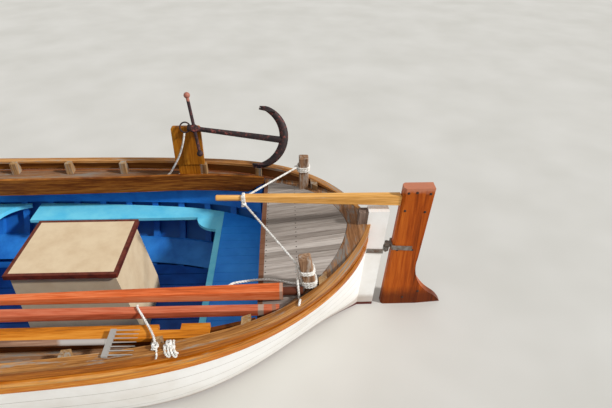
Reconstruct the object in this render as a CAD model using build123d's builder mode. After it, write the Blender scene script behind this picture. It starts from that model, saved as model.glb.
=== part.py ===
"""A double-ended wooden rowing and motor boat, built the way the real one is built.

Millimetres. X points forward to the bow, Y to port and Z up. The origin lies amidships on
the centreline, at the height of the waterline.
"""
from build123d import *
from math import cos, pi, radians, sin, sqrt, tan
import os

os.makedirs("parts", exist_ok=True)

# Driving sizes of the hull
SHEER_MID = 560                # height of the rail above the water, amidships
SHEER_STERN = 645              # the same at the sternpost
SHEER_BOW = 690                # the same at the stem
SHEER_REACH = 2600             # how far from amidships the two end heights are taken
POST_SIDING = 70               # thickness across the keel, the stem and the sternpost
POST_MOULDING = 120            # depth of the sternpost, fore and aft
STERN_FACE = -2530             # forward face of the sternpost, at the waterline
STERN_RAKE = 4                 # degrees that the sternpost leans aft
STERN_POST_TOP = 731
BOW_FACE = 2530                # after face of the stem, at the waterline
BOW_RAKE = 8
STEM_TOP = 830
KEEL_BOTTOM = -470
HOG = 45                       # how far the keel stands above the lower edge of the planks
PLANK = 22                     # thickness of the planking
FRAME_MOULDING = 40            # depth of a frame, in from the planks
FRAME_SIDING = 44
FRAME_SPACING = 200
FRAME_COUNT = 20
FRAME_FIRST = -1910            # the aftermost frame
LINING = 12                    # thickness of the boards inside the frames
GAP = 0.3                      # clearance between pieces that lie together on curved faces

# Strakes above the white planking, as distances down the side from the rail's outer edge
CAP_THICK = 18
CAP_IN = 46
CAP_OUT = 4
BULWARK_FOOT = 76
SHEER_STRAKE_TOP = 90
SHEER_STRAKE_FOOT = 176
SHEER_STRAKE_PROUD = 3
RUB_RADIUS = 12
RUB_CENTRE = 106
STANCHION_IN = 90

# Decks, coaming and cockpit
DECK_DROP = 88                 # side deck below the rail
DECK_THICK = 20
COCKPIT_AFT = -1950
COCKPIT_FORE = 1150
COAMING_Y = 755                # inner face of the coaming where it runs straight
COAMING_BEND = -1250           # where it starts to curve in
COAMING_END_Y = 660            # inner face at the after deck
COAMING_THICK = 22
COAMING_RISE = 34              # above the side deck
COAMING_FALL = 92              # below the side deck
COAMING_FORE_BEND = 700
COCKPIT_FORE_Y = 700           # inner face at the fore deck
AFT_DECK_Z = 560               # crown of the after deck at its forward edge
AFT_DECK_SLOPE = 7.8           # degrees that it rises towards the stern
FORE_DECK_Z = 560
FORE_DECK_SLOPE = 3.9
CAMBER_RADIUS = 6000
DECK_PLANK = 45
DECK_SEAM = 2

# Inside
SOLE_Z = -80                   # top of the floorboards
SOLE_THICK = 20
BENCH_Z = 230                  # top of the benches
BENCH_THICK = 22
BENCH_INNER_Y = 655
BENCH_FORE = -240
STERN_BENCH_FORE = -1640
THWART_X = 155
THWART_WIDTH = 270

# Engine box, engine and shaft
BOX_FORE = -560
BOX_AFT = -1140
BOX_AFT_FOOT = -1215
BOX_HALF = 240
BOX_WALL = 15
LID_TOP = 500
LID_THICK = 16
LID_TRIM = 28
LID_OVERHANG = 22
PROP_X = -2420
PROP_Z = -267
PROP_DIAMETER = 250
SHAFT_SLOPE = 6.6
SHAFT_DIAMETER = 25
TUBE_DIAMETER = 42
APERTURE_TOP = -122
APERTURE_BOTTOM = -412
APERTURE_FORE = -2340

# Rudder and tiller
RUDDER_THICK = 70
AXIS_BEHIND = 30               # hinge axis behind the after face of the sternpost
BLADE_BEHIND = 29              # leading edge of the rudder behind the hinge axis
RUDDER_TOP = 884
RUDDER_BOTTOM = -450
TILLER_Z = 796
TILLER_TIP = -1708
TILLER_DEEP = 66
TILLER_WIDE = 46
PIN = 16

# One row for each section of the hull, from the sternpost to the stem: x at the waterline, lean
# of the section in degrees, half-breadth at the rail, bilge corner y and z, how full the bilge is,
# height of the rabbet, plank allowance
STATIONS = [
    (-2550, 4.0, 38, 37, 40, 0.60, -20, 1.0),
    (-2350, 3.0, 455, 215, -10, 0.76, -95, 1.35),
    (-2000, 1.9, 748, 500, -62, 0.83, -205, 1.14),
    (-1545, 1.0, 884, 785, -88, 0.90, -266, 1.04),
    (-1045, 0.4, 945, 860, -100, 0.91, -291, 1.0),
    (-525, 0.1, 974, 908, -106, 0.92, -299, 1.0),
    (0, 0.0, 985, 918, -108, 0.92, -300, 1.0),
    (525, -0.15, 970, 898, -104, 0.92, -299, 1.0),
    (1045, -0.6, 928, 825, -93, 0.91, -294, 1.0),
    (1545, -1.7, 840, 665, -74, 0.87, -276, 1.04),
    (2000, -3.4, 665, 420, -44, 0.82, -228, 1.14),
    (2350, -5.6, 385, 175, -12, 0.75, -148, 1.35),
    (2550, -8.0, 38, 37, 20, 0.60, -60, 1.0),
]


def sheer(x):
    """Height of the rail at x."""
    end = SHEER_STERN if x < 0 else SHEER_BOW
    return SHEER_MID + (end - SHEER_MID) * (x / SHEER_REACH) ** 2


def station_plane(row, side):
    """The leaning plane of a section, with its own x to port or starboard and its y up."""
    lean = radians(row[1])
    along = (side * cos(lean), 0, side * sin(lean))
    return Plane(origin=(row[0], 0, 0), x_dir=(0, side, 0), z_dir=along)


def section(row, depth, drop=0):
    """Rabbet, bilge corner and rail of a section, moved in by depth, and the rail down by drop."""
    x, lean, rail_y, bilge_y, bilge_z, full, rabbet, allow = row
    depth = depth * allow
    low = Vector(POST_SIDING / 2, rabbet)
    bilge = Vector(bilge_y, bilge_z)
    rail = Vector(rail_y, sheer(x) / cos(radians(lean)))
    bottom = (bilge - low).normalized()
    topside = (rail - bilge).normalized()
    bottom_in = Vector(-bottom.Y, bottom.X)
    topside_in = Vector(-topside.Y, topside.X)
    corner = bilge + (bottom_in + topside_in) * (depth / (1 + bottom_in.dot(topside_in)))
    low = low + bottom_in * depth
    rail = rail + topside_in * depth - topside * drop
    return [Vector(max(p.X, 1), p.Y) for p in (low, corner, rail)]


def hull_curve(low, corner, rail, full):
    """The section's curve, which keeps close to the lines to its bilge corner and up to the rail."""
    Bezier(
        low,
        low + (corner - low) * full / 2,
        low + (corner - low) * full,
        corner + (rail - corner) * (1 - full),
        corner + (rail - corner) * (1 - full / 2),
        rail,
    )


def half_room(side, depth, rows=STATIONS, rise=60):
    """One side of the room inside the hull, in from the outside of the planks by depth."""
    with BuildPart() as made:
        for row in rows:
            low, corner, rail = section(row, depth)
            top = rail + (rail - corner).normalized() * rise
            with BuildSketch(station_plane(row, side)):
                with BuildLine():
                    hull_curve(low, corner, rail, row[5])
                    Polyline(rail, top, (0, top.Y), (0, low.Y), low)
                make_face()
        loft()
    return made.part


def inside(depth, rows=STATIONS, rise=60):
    """The same on both sides, as one solid."""
    with BuildPart() as made:
        for side in (1, -1):
            add(half_room(side, depth, rows, rise))
    return made.part


def plan_room(inset):
    """Everything inside the rail by inset, seen from above."""
    half = []
    for row in STATIONS[1:-1]:
        half.append((row[0] - sheer(row[0]) * tan(radians(row[1])), row[2] - inset * row[7]))
    stern = (STATIONS[0][0] - 46 + inset * 0.35, 24)
    bow = (STATIONS[-1][0] + 96 - inset * 0.5, 24)
    with BuildPart() as made:
        with BuildSketch():
            with BuildLine():
                for side in (1, -1):
                    Spline(*[(x, side * y) for x, y in (stern, *half, bow)])
                for x, y in (stern, bow):
                    Line((x, y), (x, -y))
            make_face()
        extrude(amount=1200)
    return made.part


def sheer_band(top, foot, x_from=-2700, x_to=2800):
    """Everything between two heights that follow the sheer, given as drops below the rail."""
    xs = [x_from, x_from / 2, 0, x_to / 2, x_to]
    with BuildPart() as made:
        with BuildSketch(Plane.XZ):
            with BuildLine():
                ThreePointArc(*[(x, sheer(x) - top) for x in xs[0:3]])
                ThreePointArc(*[(x, sheer(x) - top) for x in xs[2:5]])
                ThreePointArc(*[(x, sheer(x) - foot) for x in xs[0:3]])
                ThreePointArc(*[(x, sheer(x) - foot) for x in xs[2:5]])
                Line((x_from, sheer(x_from) - top), (x_from, sheer(x_from) - foot))
                Line((x_to, sheer(x_to) - top), (x_to, sheer(x_to) - foot))
            make_face()
        extrude(amount=1200, both=True)
    return made.part


def cambered_slab(x_edge, crown_z, slope, toward, rise, fall):
    """A crowned deck that starts at x_edge and runs towards the stern (-1) or the bow (1)."""
    tilt = radians(slope)
    along = (toward * cos(tilt), 0, sin(tilt))
    plane = Plane(origin=(x_edge, 0, crown_z), x_dir=(0, toward, 0), z_dir=along)
    half = 1000
    sink = CAMBER_RADIUS - sqrt(CAMBER_RADIUS ** 2 - half ** 2)
    with BuildPart() as made:
        with BuildSketch(plane):
            with BuildLine():
                ThreePointArc((-half, rise - sink), (0, rise), (half, rise - sink))
                ThreePointArc((-half, -fall - sink), (0, -fall), (half, -fall - sink))
                Line((-half, rise - sink), (-half, -fall - sink))
                Line((half, rise - sink), (half, -fall - sink))
            make_face()
        extrude(amount=1000)
    return made.part


def save(piece, name):
    """Name a finished piece and write it."""
    piece.label = name
    export_step(piece, f"parts/{name}.step")


def post_x(z, face=STERN_FACE):
    """Where a face of the sternpost stands at height z."""
    return face - z * tan(radians(STERN_RAKE))


def stem_x(z, face=BOW_FACE):
    """Where a face of the stem stands at height z."""
    return face + z * tan(radians(BOW_RAKE))


SIDES = {"port": 1, "starboard": -1}
MIDDLE_ROWS = STATIONS[1:-2]
FRAME_XS = [FRAME_FIRST + i * FRAME_SPACING for i in range(FRAME_COUNT)]

# The room inside the planks, inside the frames and inside their lining
room = inside(PLANK + GAP)
room_in_frames = inside(PLANK + FRAME_MOULDING + GAP, MIDDLE_ROWS)
room_in_lining = inside(PLANK + FRAME_MOULDING + LINING + 3 * GAP, MIDDLE_ROWS)

# What the strakes lie between: the keel and the posts, and the inside of the planks
with BuildPart() as centre_cutter:
    Box(6000, POST_SIDING + 2 * GAP, 2400)
plank_insides = {side: half_room(side, PLANK) for side in (1, -1)}
plank_outsides = {side: half_room(side, 0) for side in (1, -1)}

# Planking, and the strakes, bulwark and cap above it
for side_name, side in SIDES.items():
    with BuildPart() as planking:
        add(plank_outsides[side])
        add(sheer_band(SHEER_STRAKE_FOOT + GAP, 1400), mode=Mode.INTERSECT)
        add(plank_insides[side], mode=Mode.SUBTRACT)
        add(centre_cutter.part, mode=Mode.SUBTRACT)
    save(planking.part, f"planking_{side_name}")
    with BuildPart() as sheer_strake:
        add(half_room(side, -SHEER_STRAKE_PROUD))
        add(sheer_band(SHEER_STRAKE_TOP, SHEER_STRAKE_FOOT), mode=Mode.INTERSECT)
        add(plank_insides[side], mode=Mode.SUBTRACT)
        add(centre_cutter.part, mode=Mode.SUBTRACT)
    save(sheer_strake.part, f"sheer_strake_{side_name}")
    with BuildPart() as bulwark:
        add(plank_outsides[side])
        add(sheer_band(CAP_THICK + GAP, BULWARK_FOOT), mode=Mode.INTERSECT)
        add(plank_insides[side], mode=Mode.SUBTRACT)
        add(centre_cutter.part, mode=Mode.SUBTRACT)
    save(bulwark.part, f"bulwark_{side_name}")
    with BuildPart() as cap_rail:
        add(half_room(side, -CAP_OUT))
        add(sheer_band(0, CAP_THICK), mode=Mode.INTERSECT)
        add(plan_room(CAP_IN), mode=Mode.SUBTRACT)
        add(centre_cutter.part, mode=Mode.SUBTRACT)
    save(cap_rail.part, f"cap_rail_{side_name}")
    with BuildPart() as rub_rail:
        for row in STATIONS:
            top = section(row, 0, RUB_CENTRE - RUB_RADIUS)[2]
            foot = section(row, 0, RUB_CENTRE + RUB_RADIUS)[2]
            bulge = -SHEER_STRAKE_PROUD - 4 / 3 * RUB_RADIUS
            out_top = section(row, bulge, RUB_CENTRE - RUB_RADIUS)[2]
            out_foot = section(row, bulge, RUB_CENTRE + RUB_RADIUS)[2]
            with BuildSketch(station_plane(row, side)):
                with BuildLine():
                    Bezier(top, out_top, out_foot, foot)
                    Line(foot, top)
                make_face()
        loft()
        add(half_room(side, -SHEER_STRAKE_PROUD - GAP), mode=Mode.SUBTRACT)
        add(centre_cutter.part, mode=Mode.SUBTRACT)
    save(rub_rail.part, f"rub_rail_{side_name}")

# Sternpost, with its heel on the keel
stern_aft = STERN_FACE - POST_MOULDING
with BuildPart() as stern_post:
    with BuildSketch(Plane.XZ):
        with BuildLine():
            Polyline(
                (post_x(KEEL_BOTTOM), KEEL_BOTTOM),
                (post_x(KEEL_BOTTOM, stern_aft), KEEL_BOTTOM),
                (post_x(STERN_POST_TOP, stern_aft), STERN_POST_TOP),
                (post_x(STERN_POST_TOP), STERN_POST_TOP),
                close=True,
            )
        make_face()
    extrude(amount=POST_SIDING / 2, both=True)
save(stern_post.part, "stern_post")

# Stem, with its curved forefoot
with BuildPart() as stem_post:
    with BuildSketch(Plane.XZ):
        with BuildLine():
            heel = (2150, KEEL_BOTTOM + 40)
            toe = (stem_x(-120, BOW_FACE + POST_MOULDING), -120)
            knuckle = (2500, KEEL_BOTTOM + 118)
            ThreePointArc(heel, knuckle, toe)
            Polyline(
                toe,
                (stem_x(STEM_TOP, BOW_FACE + POST_MOULDING), STEM_TOP),
                (stem_x(STEM_TOP), STEM_TOP),
                (stem_x(-10), -10),
                (2460, -110 + HOG),
                (2150, -200 + HOG),
                heel,
            )
        make_face()
    extrude(amount=POST_SIDING / 2, both=True)
save(stem_post.part, "stem_post")

# Keel and deadwood, with the propeller's aperture
keel_top = [(row[0], row[6] + HOG) for row in STATIONS[1:-3]]
with BuildPart() as keel:
    with BuildSketch(Plane.XZ):
        with BuildLine():
            Polyline(
                (post_x(KEEL_BOTTOM), KEEL_BOTTOM),
                (post_x(10), 10),
                *keel_top,
                (2150, -200 + HOG),
                heel,
                close=True,
            )
        make_face()
        with BuildLine():
            Polyline(
                (post_x(APERTURE_BOTTOM), APERTURE_BOTTOM),
                (post_x(APERTURE_TOP), APERTURE_TOP),
                (APERTURE_FORE, APERTURE_TOP),
                (APERTURE_FORE, APERTURE_BOTTOM),
                close=True,
            )
        make_face(mode=Mode.SUBTRACT)
    extrude(amount=POST_SIDING / 2, both=True)
    shaft_dir = (cos(radians(SHAFT_SLOPE)), 0, sin(radians(SHAFT_SLOPE)))
    shaft_plane = Plane(origin=(PROP_X, 0, PROP_Z), z_dir=shaft_dir)
    with BuildSketch(shaft_plane):
        Circle(TUBE_DIAMETER / 2 + GAP)
    extrude(amount=1300, mode=Mode.SUBTRACT)
save(keel.part, "keel")

# The sternpost and the stem, a little larger, to cut the decks
with BuildPart() as posts_cutter:
    with BuildSketch(Plane.XZ):
        for face, rake in ((STERN_FACE + GAP, post_x), (BOW_FACE - GAP, stem_x)):
            beyond = -300 if face < 0 else 300
            with BuildLine():
                Polyline(
                    (rake(-100, face), -100),
                    (rake(900, face), 900),
                    (rake(900, face) + beyond, 900),
                    (rake(-100, face) + beyond, -100),
                    close=True,
                )
            make_face()
    extrude(amount=POST_SIDING / 2 + GAP, both=True)

# Frames: a sawn timber up each side, joined by a floor over the keel
with BuildPart() as keel_room:
    with BuildSketch(Plane.XZ):
        with BuildLine():
            Polyline(
                (STERN_FACE, KEEL_BOTTOM),
                (STERN_FACE, 10 + GAP),
                *[(x, z + GAP) for x, z in keel_top],
                (2150, -200 + HOG + GAP),
                (2300, -110 + HOG),
                (2300, KEEL_BOTTOM),
                close=True,
            )
        make_face()
    extrude(amount=POST_SIDING / 2 + GAP, both=True)
inside_of_frames = inside(PLANK + FRAME_MOULDING, MIDDLE_ROWS, rise=80)
frame_band = sheer_band(DECK_DROP + DECK_THICK + GAP, 1400)
with BuildPart() as shaft_room:
    with BuildSketch(shaft_plane):
        Circle(TUBE_DIAMETER / 2 + 3)
    extrude(amount=1400)
frame_solids = []
for x in FRAME_XS:
    with BuildPart() as whole_slice:
        with Locations((x, 0, 0)):
            Box(FRAME_SIDING, 2400, 1600)
        add(room, mode=Mode.INTERSECT)
    timbers = whole_slice.part - inside_of_frames
    with BuildPart() as frame:
        with Locations((x, 0, SOLE_Z - SOLE_THICK - GAP)):
            Box(FRAME_SIDING, 2400, 400, align=(Align.CENTER, Align.CENTER, Align.MAX))
        add(whole_slice.part, mode=Mode.INTERSECT)
        add(timbers)
        add(frame_band, mode=Mode.INTERSECT)
        add(keel_room.part, mode=Mode.SUBTRACT)
        add(shaft_room.part, mode=Mode.SUBTRACT)
    frame_solids += frame.part.solids()
save(Compound(children=frame_solids), "frames")


def coaming_line(offset, side=1):
    """Plan line of the coaming's inner face, moved out by offset, from the fore deck aft."""
    fore = (COCKPIT_FORE, side * (COCKPIT_FORE_Y + offset))
    fore_bend = (COAMING_FORE_BEND, side * (COAMING_Y + offset))
    aft_bend = (COAMING_BEND, side * (COAMING_Y + offset))
    aft = (COCKPIT_AFT, side * (COAMING_END_Y + offset))
    TangentArc(fore_bend, fore, tangent=(1, 0))
    Line(fore_bend, aft_bend)
    TangentArc(aft_bend, aft, tangent=(-1, 0))
    return fore, aft


# Decks: covering boards along the rail, planks between them, and the side decks
with BuildPart() as below_side:
    with Locations(((COCKPIT_AFT + COCKPIT_FORE) / 2, 0, 0)):
        Box(COCKPIT_FORE - COCKPIT_AFT, 2400, 2000)
    add(sheer_band(DECK_DROP - GAP, 400), mode=Mode.INTERSECT)
below_side = below_side.part
below_aft = cambered_slab(COCKPIT_AFT, AFT_DECK_Z, AFT_DECK_SLOPE, -1, GAP, 300)
below_fore = cambered_slab(COCKPIT_FORE, FORE_DECK_Z, FORE_DECK_SLOPE, 1, GAP, 300)
deck_band = sheer_band(DECK_DROP, DECK_DROP + DECK_THICK)
with BuildPart() as cap_room:
    add(sheer_band(-60, CAP_THICK + GAP))
    add(plan_room(CAP_IN + GAP), mode=Mode.SUBTRACT)
for side_name, side in SIDES.items():
    with BuildPart() as side_deck:
        with BuildSketch():
            with BuildLine():
                fore, aft = coaming_line(COAMING_THICK + GAP, side)
                Polyline(fore, (fore[0], side * 1100), (aft[0], side * 1100), aft)
            make_face()
        extrude(amount=900)
        add(deck_band, mode=Mode.INTERSECT)
        add(room, mode=Mode.INTERSECT)
    save(side_deck.part, f"side_deck_{side_name}")
    with BuildPart() as coaming:
        with BuildSketch():
            with BuildLine():
                inner_fore, inner_aft = coaming_line(0, side)
                outer_fore, outer_aft = coaming_line(COAMING_THICK, side)
                Line(inner_fore, outer_fore)
                Line(inner_aft, outer_aft)
            make_face()
        extrude(amount=900)
        add(sheer_band(DECK_DROP - COAMING_RISE, DECK_DROP + COAMING_FALL), mode=Mode.INTERSECT)
        add(room_in_lining, mode=Mode.INTERSECT)
    save(coaming.part, f"coaming_{side_name}")

# Name, edge, crown, slope, direction, half-width of the planked part, its middle and its point
DECKS = [
    ("aft", COCKPIT_AFT, AFT_DECK_Z, AFT_DECK_SLOPE, -1, 660, (-2290, 400), -2465),
    ("fore", COCKPIT_FORE, FORE_DECK_Z, FORE_DECK_SLOPE, 1, 800, (1850, 545), 2400),
]
BEAMS = {"aft": (-1974, -2240), "fore": (1174, 1560, 1960)}
beam_solids = []
for deck_name, edge, crown, slope, toward, half, middle, point in DECKS:
    slab = cambered_slab(edge, crown, slope, toward, 0, DECK_THICK)
    outlines = []
    for seam in (0, 3):
        with BuildPart() as outline:
            with BuildSketch():
                with BuildLine():
                    tip = (point - toward * seam, 0)
                    for side in (1, -1):
                        corner = (edge, side * (half - seam))
                        ThreePointArc(corner, (middle[0], side * (middle[1] - seam)), tip)
                    Line((edge, half - seam), (edge, seam - half))
                make_face()
            extrude(amount=900)
        outlines.append(outline.part)
    with BuildPart() as covering_board:
        add(slab)
        add(outlines[0], mode=Mode.SUBTRACT)
        add(room, mode=Mode.INTERSECT)
        add(posts_cutter.part, mode=Mode.SUBTRACT)
        add(cap_room.part, mode=Mode.SUBTRACT)
    save(covering_board.part, f"{deck_name}_covering_board")
    with BuildPart() as planks:
        count = int(2 * half / DECK_PLANK) + 1
        middles = [(i - (count - 1) / 2) * DECK_PLANK for i in range(count)]
        with Locations(*[((edge + point) / 2, y, 500) for y in middles]):
            Box(abs(point - edge) + 200, DECK_PLANK - DECK_SEAM, 600)
        add(slab, mode=Mode.INTERSECT)
        add(outlines[1], mode=Mode.INTERSECT)
    save(planks.part, f"{deck_name}_deck")
    with BuildPart() as beams:
        with Locations(*[(x, 0, 500) for x in BEAMS[deck_name]]):
            Box(44, 2400, 600)
        under = cambered_slab(edge, crown, slope, toward, -DECK_THICK - GAP, DECK_THICK + 62)
        add(under, mode=Mode.INTERSECT)
        add(room, mode=Mode.INTERSECT)
    beam_solids += beams.part.solids()
save(Compound(children=beam_solids), "deck_beams")

# Stanchions of the bulwark, over some of the frames and near the ends
STANCHION_XS = {"port": FRAME_XS[0::2], "starboard": FRAME_XS[0:4:2] + FRAME_XS[5::2]}
for side_name, side in SIDES.items():
    xs = STANCHION_XS[side_name] + [-2290, 2240]
    with BuildPart() as stanchions:
        with Locations(*[(x, side * 600, 500) for x in xs]):
            Box(FRAME_SIDING, 1190, 900)
        add(sheer_band(0, 150), mode=Mode.INTERSECT)
        add(room, mode=Mode.INTERSECT)
        add(plan_room(STANCHION_IN), mode=Mode.SUBTRACT)
        add(cap_room.part, mode=Mode.SUBTRACT)
        for under in (below_side, below_aft, below_fore):
            add(under, mode=Mode.SUBTRACT)
    save(stanchions.part, f"bulwark_stanchions_{side_name}")

# Head of the knee inside the sternpost
with BuildPart() as stern_knee:
    with BuildSketch(Plane.XZ):
        with BuildLine():
            Polyline(
                (post_x(480, STERN_FACE + GAP), 480),
                (post_x(720, STERN_FACE + GAP), 720),
                (post_x(720, STERN_FACE + 52), 720),
                (post_x(480, STERN_FACE + 52), 480),
                close=True,
            )
        make_face()
    extrude(amount=29, both=True)
    add(below_aft, mode=Mode.SUBTRACT)
save(stern_knee.part, "stern_knee")

# Floorboards, with an opening over the engine, and the boards at the bilge
with BuildPart() as floorboards:
    with Locations(*[(50, (i - 4) * 111, SOLE_Z) for i in range(9)]):
        Box(3300, 105, SOLE_THICK, align=(Align.CENTER, Align.CENTER, Align.MAX))
    add(room_in_lining, mode=Mode.INTERSECT)
    with Locations((BOX_AFT / 2 + BOX_FORE / 2, 0, SOLE_Z)):
        Box(BOX_FORE - BOX_AFT - 60, 2 * BOX_HALF - 70, 100, mode=Mode.SUBTRACT)
save(floorboards.part, "floorboards")
lining_inside = inside(PLANK + FRAME_MOULDING + LINING, MIDDLE_ROWS)
lining_solids = []
side_lining_solids = []
for side_name, side in SIDES.items():
    with BuildPart() as bilge_lining:
        with Locations((0, side * 600, SOLE_Z + 4)):
            Box(3200, 1100, 100, align=(Align.CENTER, Align.CENTER, Align.MIN))
        add(room_in_frames, mode=Mode.INTERSECT)
        add(lining_inside, mode=Mode.SUBTRACT)
    lining_solids += bilge_lining.part.solids()
    with BuildPart() as side_lining:
        with Locations((-390, side * 600, 300)):
            Box(3060, 1100, 800)
        add(sheer_band(172, 310), mode=Mode.INTERSECT)
        add(room_in_frames, mode=Mode.INTERSECT)
        add(lining_inside, mode=Mode.SUBTRACT)
    side_lining_solids += side_lining.part.solids()
save(Compound(children=lining_solids), "bilge_lining")
save(Compound(children=side_lining_solids), "side_lining")

# Benches round the after cockpit, and the thwarts
CORNER = 150                   # inner corner of the bench
EDGE_WIDTH = 40
bench_edge_x = STERN_BENCH_FORE + EDGE_WIDTH
for side_name, side in SIDES.items():
    with BuildPart() as side_bench:
        with BuildSketch(Plane.XY.offset(BENCH_Z - BENCH_THICK)):
            with BuildLine():
                Polyline(
                    (BENCH_FORE, side * BENCH_INNER_Y),
                    (STERN_BENCH_FORE, side * BENCH_INNER_Y),
                    (STERN_BENCH_FORE, side * 1100),
                    (BENCH_FORE, side * 1100),
                    close=True,
                )
            make_face()
        extrude(amount=BENCH_THICK)
        add(room_in_frames, mode=Mode.INTERSECT)
    save(side_bench.part, f"side_bench_{side_name}")
with BuildPart() as stern_bench_edge:
    inner = BENCH_INNER_Y - 1
    with BuildSketch(Plane.XY.offset(BENCH_Z - BENCH_THICK)):
        with BuildLine():
            Line((STERN_BENCH_FORE, -inner), (STERN_BENCH_FORE, inner))
            Line((STERN_BENCH_FORE, inner), (bench_edge_x + CORNER, inner))
            Line((STERN_BENCH_FORE, -inner), (bench_edge_x + CORNER, -inner))
            RadiusArc((bench_edge_x + CORNER, inner), (bench_edge_x, inner - CORNER), CORNER)
            RadiusArc((bench_edge_x + CORNER, -inner), (bench_edge_x, CORNER - inner), -CORNER)
            Line((bench_edge_x, inner - CORNER), (bench_edge_x, CORNER - inner))
        make_face()
    extrude(amount=BENCH_THICK)
save(stern_bench_edge.part, "stern_bench_edge")
with BuildPart() as stern_bench:
    with Locations(*[(STERN_BENCH_FORE - 1, (i - 9) * 82, BENCH_Z) for i in range(19)]):
        Box(480, 80.5, BENCH_THICK, align=(Align.MAX, Align.CENTER, Align.MAX))
    add(room_in_frames, mode=Mode.INTERSECT)
save(stern_bench.part, "stern_bench")
with BuildPart() as bench_bearers:
    for side in (1, -1):
        with Locations(*[(x, side * 900, BENCH_Z - BENCH_THICK) for x in (-1510, -910, -310)]):
            Box(40, 480, 44, align=(Align.CENTER, Align.CENTER, Align.MAX))
    with Locations(*[(x, 0, BENCH_Z - BENCH_THICK) for x in (STERN_BENCH_FORE - 20, -2090)]):
        Box(44, 1800, 50, align=(Align.CENTER, Align.CENTER, Align.MAX))
    add(room_in_frames, mode=Mode.INTERSECT)
save(bench_bearers.part, "bench_bearers")
with BuildPart() as thwarts:
    with Locations((THWART_X, 0, BENCH_Z), (960, 0, BENCH_Z)):
        Box(THWART_WIDTH, 2200, 30, align=(Align.CENTER, Align.CENTER, Align.MAX))
    add(room_in_frames, mode=Mode.INTERSECT)
save(thwarts.part, "thwarts")
with BuildPart() as thwart_knees:
    knee_x = THWART_X - THWART_WIDTH / 2 - 0.5
    for side in (1, -1):
        with BuildSketch(Plane.XY.offset(BENCH_Z - 30)):
            with BuildLine():
                tip = (knee_x - 190, side * 860)
                Polyline((knee_x, side * 640), (knee_x, side * 1000), (tip[0], side * 1000), tip)
                ThreePointArc(tip, (knee_x - 55, side * 790), (knee_x, side * 640))
            make_face()
    extrude(amount=30)
    add(room_in_frames, mode=Mode.INTERSECT)
save(thwart_knees.part, "thwart_knees")

# Engine box, open below, with a lid that lifts on hinges at its fore edge
box_top = LID_TOP - LID_TRIM
with BuildPart() as engine_box:
    with BuildSketch(Plane.XZ):
        with BuildLine():
            Polyline(
                (BOX_FORE, SOLE_Z),
                (BOX_FORE, box_top),
                (BOX_AFT, box_top),
                (BOX_AFT_FOOT, SOLE_Z + 120),
                (BOX_AFT_FOOT, SOLE_Z),
                close=True,
            )
        make_face()
    extrude(amount=BOX_HALF, both=True)
    openings = engine_box.faces().sort_by(Axis.Z)[0], engine_box.faces().sort_by(Axis.Z)[-1]
    offset(amount=-BOX_WALL, openings=openings)
save(engine_box.part, "engine_box")
lid_middle = (BOX_FORE + BOX_AFT) / 2
lid_length = BOX_FORE - BOX_AFT + 2 * LID_OVERHANG
lid_width = 2 * (BOX_HALF + LID_OVERHANG)
with BuildPart() as engine_box_lid:
    with Locations((lid_middle, 0, LID_TOP)):
        Box(lid_length - 44, lid_width - 44, LID_THICK, align=(Align.CENTER, Align.CENTER, Align.MAX))
save(engine_box_lid.part, "engine_box_lid")
with BuildPart() as lid_trim:
    with Locations((lid_middle, 0, LID_TOP)):
        Box(lid_length, lid_width, LID_TRIM - GAP, align=(Align.CENTER, Align.CENTER, Align.MAX))
        Box(lid_length - 100, lid_width - 100, 200, mode=Mode.SUBTRACT)
    add(engine_box_lid.part, mode=Mode.SUBTRACT)
    chamfer(lid_trim.edges().filter_by(Axis.Z).group_by(SortBy.DISTANCE)[-1], 4)
save(lid_trim.part, "lid_trim")
with BuildPart() as engine:
    with Locations((-860, 0, -95)):
        Box(440, 220, 480, align=(Align.CENTER, Align.CENTER, Align.MIN))
    fillet(engine.edges().filter_by(Axis.Y), 20)
    with Locations((-1010, 0, -155)):
        Box(145, 110, 80, align=(Align.CENTER, Align.CENTER, Align.MIN))
save(engine.part, "engine")
with BuildPart() as engine_bearers:
    with Locations((-855, 135.5, SOLE_Z - SOLE_THICK), (-855, -135.5, SOLE_Z - SOLE_THICK)):
        Box(480, 50, 70, align=(Align.CENTER, Align.CENTER, Align.MIN))
save(engine_bearers.part, "engine_bearers")

# Propeller shaft in its tube, and the propeller
with BuildPart() as stern_tube:
    with BuildSketch(shaft_plane.offset(62)):
        Circle(TUBE_DIAMETER / 2)
        Circle(SHAFT_DIAMETER / 2 + 0.7, mode=Mode.SUBTRACT)
    extrude(amount=690)
save(stern_tube.part, "stern_tube")
with BuildPart() as propeller_shaft:
    with BuildSketch(shaft_plane.offset(-42)):
        Circle(SHAFT_DIAMETER / 2)
    extrude(amount=1383)
save(propeller_shaft.part, "propeller_shaft")
with BuildPart() as propeller:
    with BuildSketch(shaft_plane.offset(-34)):
        Circle(27)
    extrude(amount=70, taper=4)
    axis = shaft_plane.z_dir
    for turn in (90, 210, 330):
        out = shaft_plane.x_dir * cos(radians(turn)) + shaft_plane.y_dir * sin(radians(turn))
        round_it = axis.cross(out)
        for radius, chord, thick, pitch in ((18, 44, 12, 62), (70, 92, 7, 34), (122, 62, 3.5, 22)):
            chord_dir = axis * sin(radians(pitch)) + round_it * cos(radians(pitch))
            middle = shaft_plane.origin + out * radius
            with BuildSketch(Plane(origin=middle, x_dir=chord_dir, z_dir=out)):
                Ellipse(chord / 2, thick / 2)
        loft()
    with BuildSketch(shaft_plane.offset(-60)):
        Circle(SHAFT_DIAMETER / 2 + 0.05)
    extrude(amount=140, mode=Mode.SUBTRACT)
save(propeller.part, "propeller")

# Rudder, hung on pintles behind the sternpost, and its tiller
rake = radians(STERN_RAKE)


def axis_x(z):
    """Where the rudder's hinge axis stands at height z."""
    return post_x(z, STERN_FACE - POST_MOULDING) - AXIS_BEHIND


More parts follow.
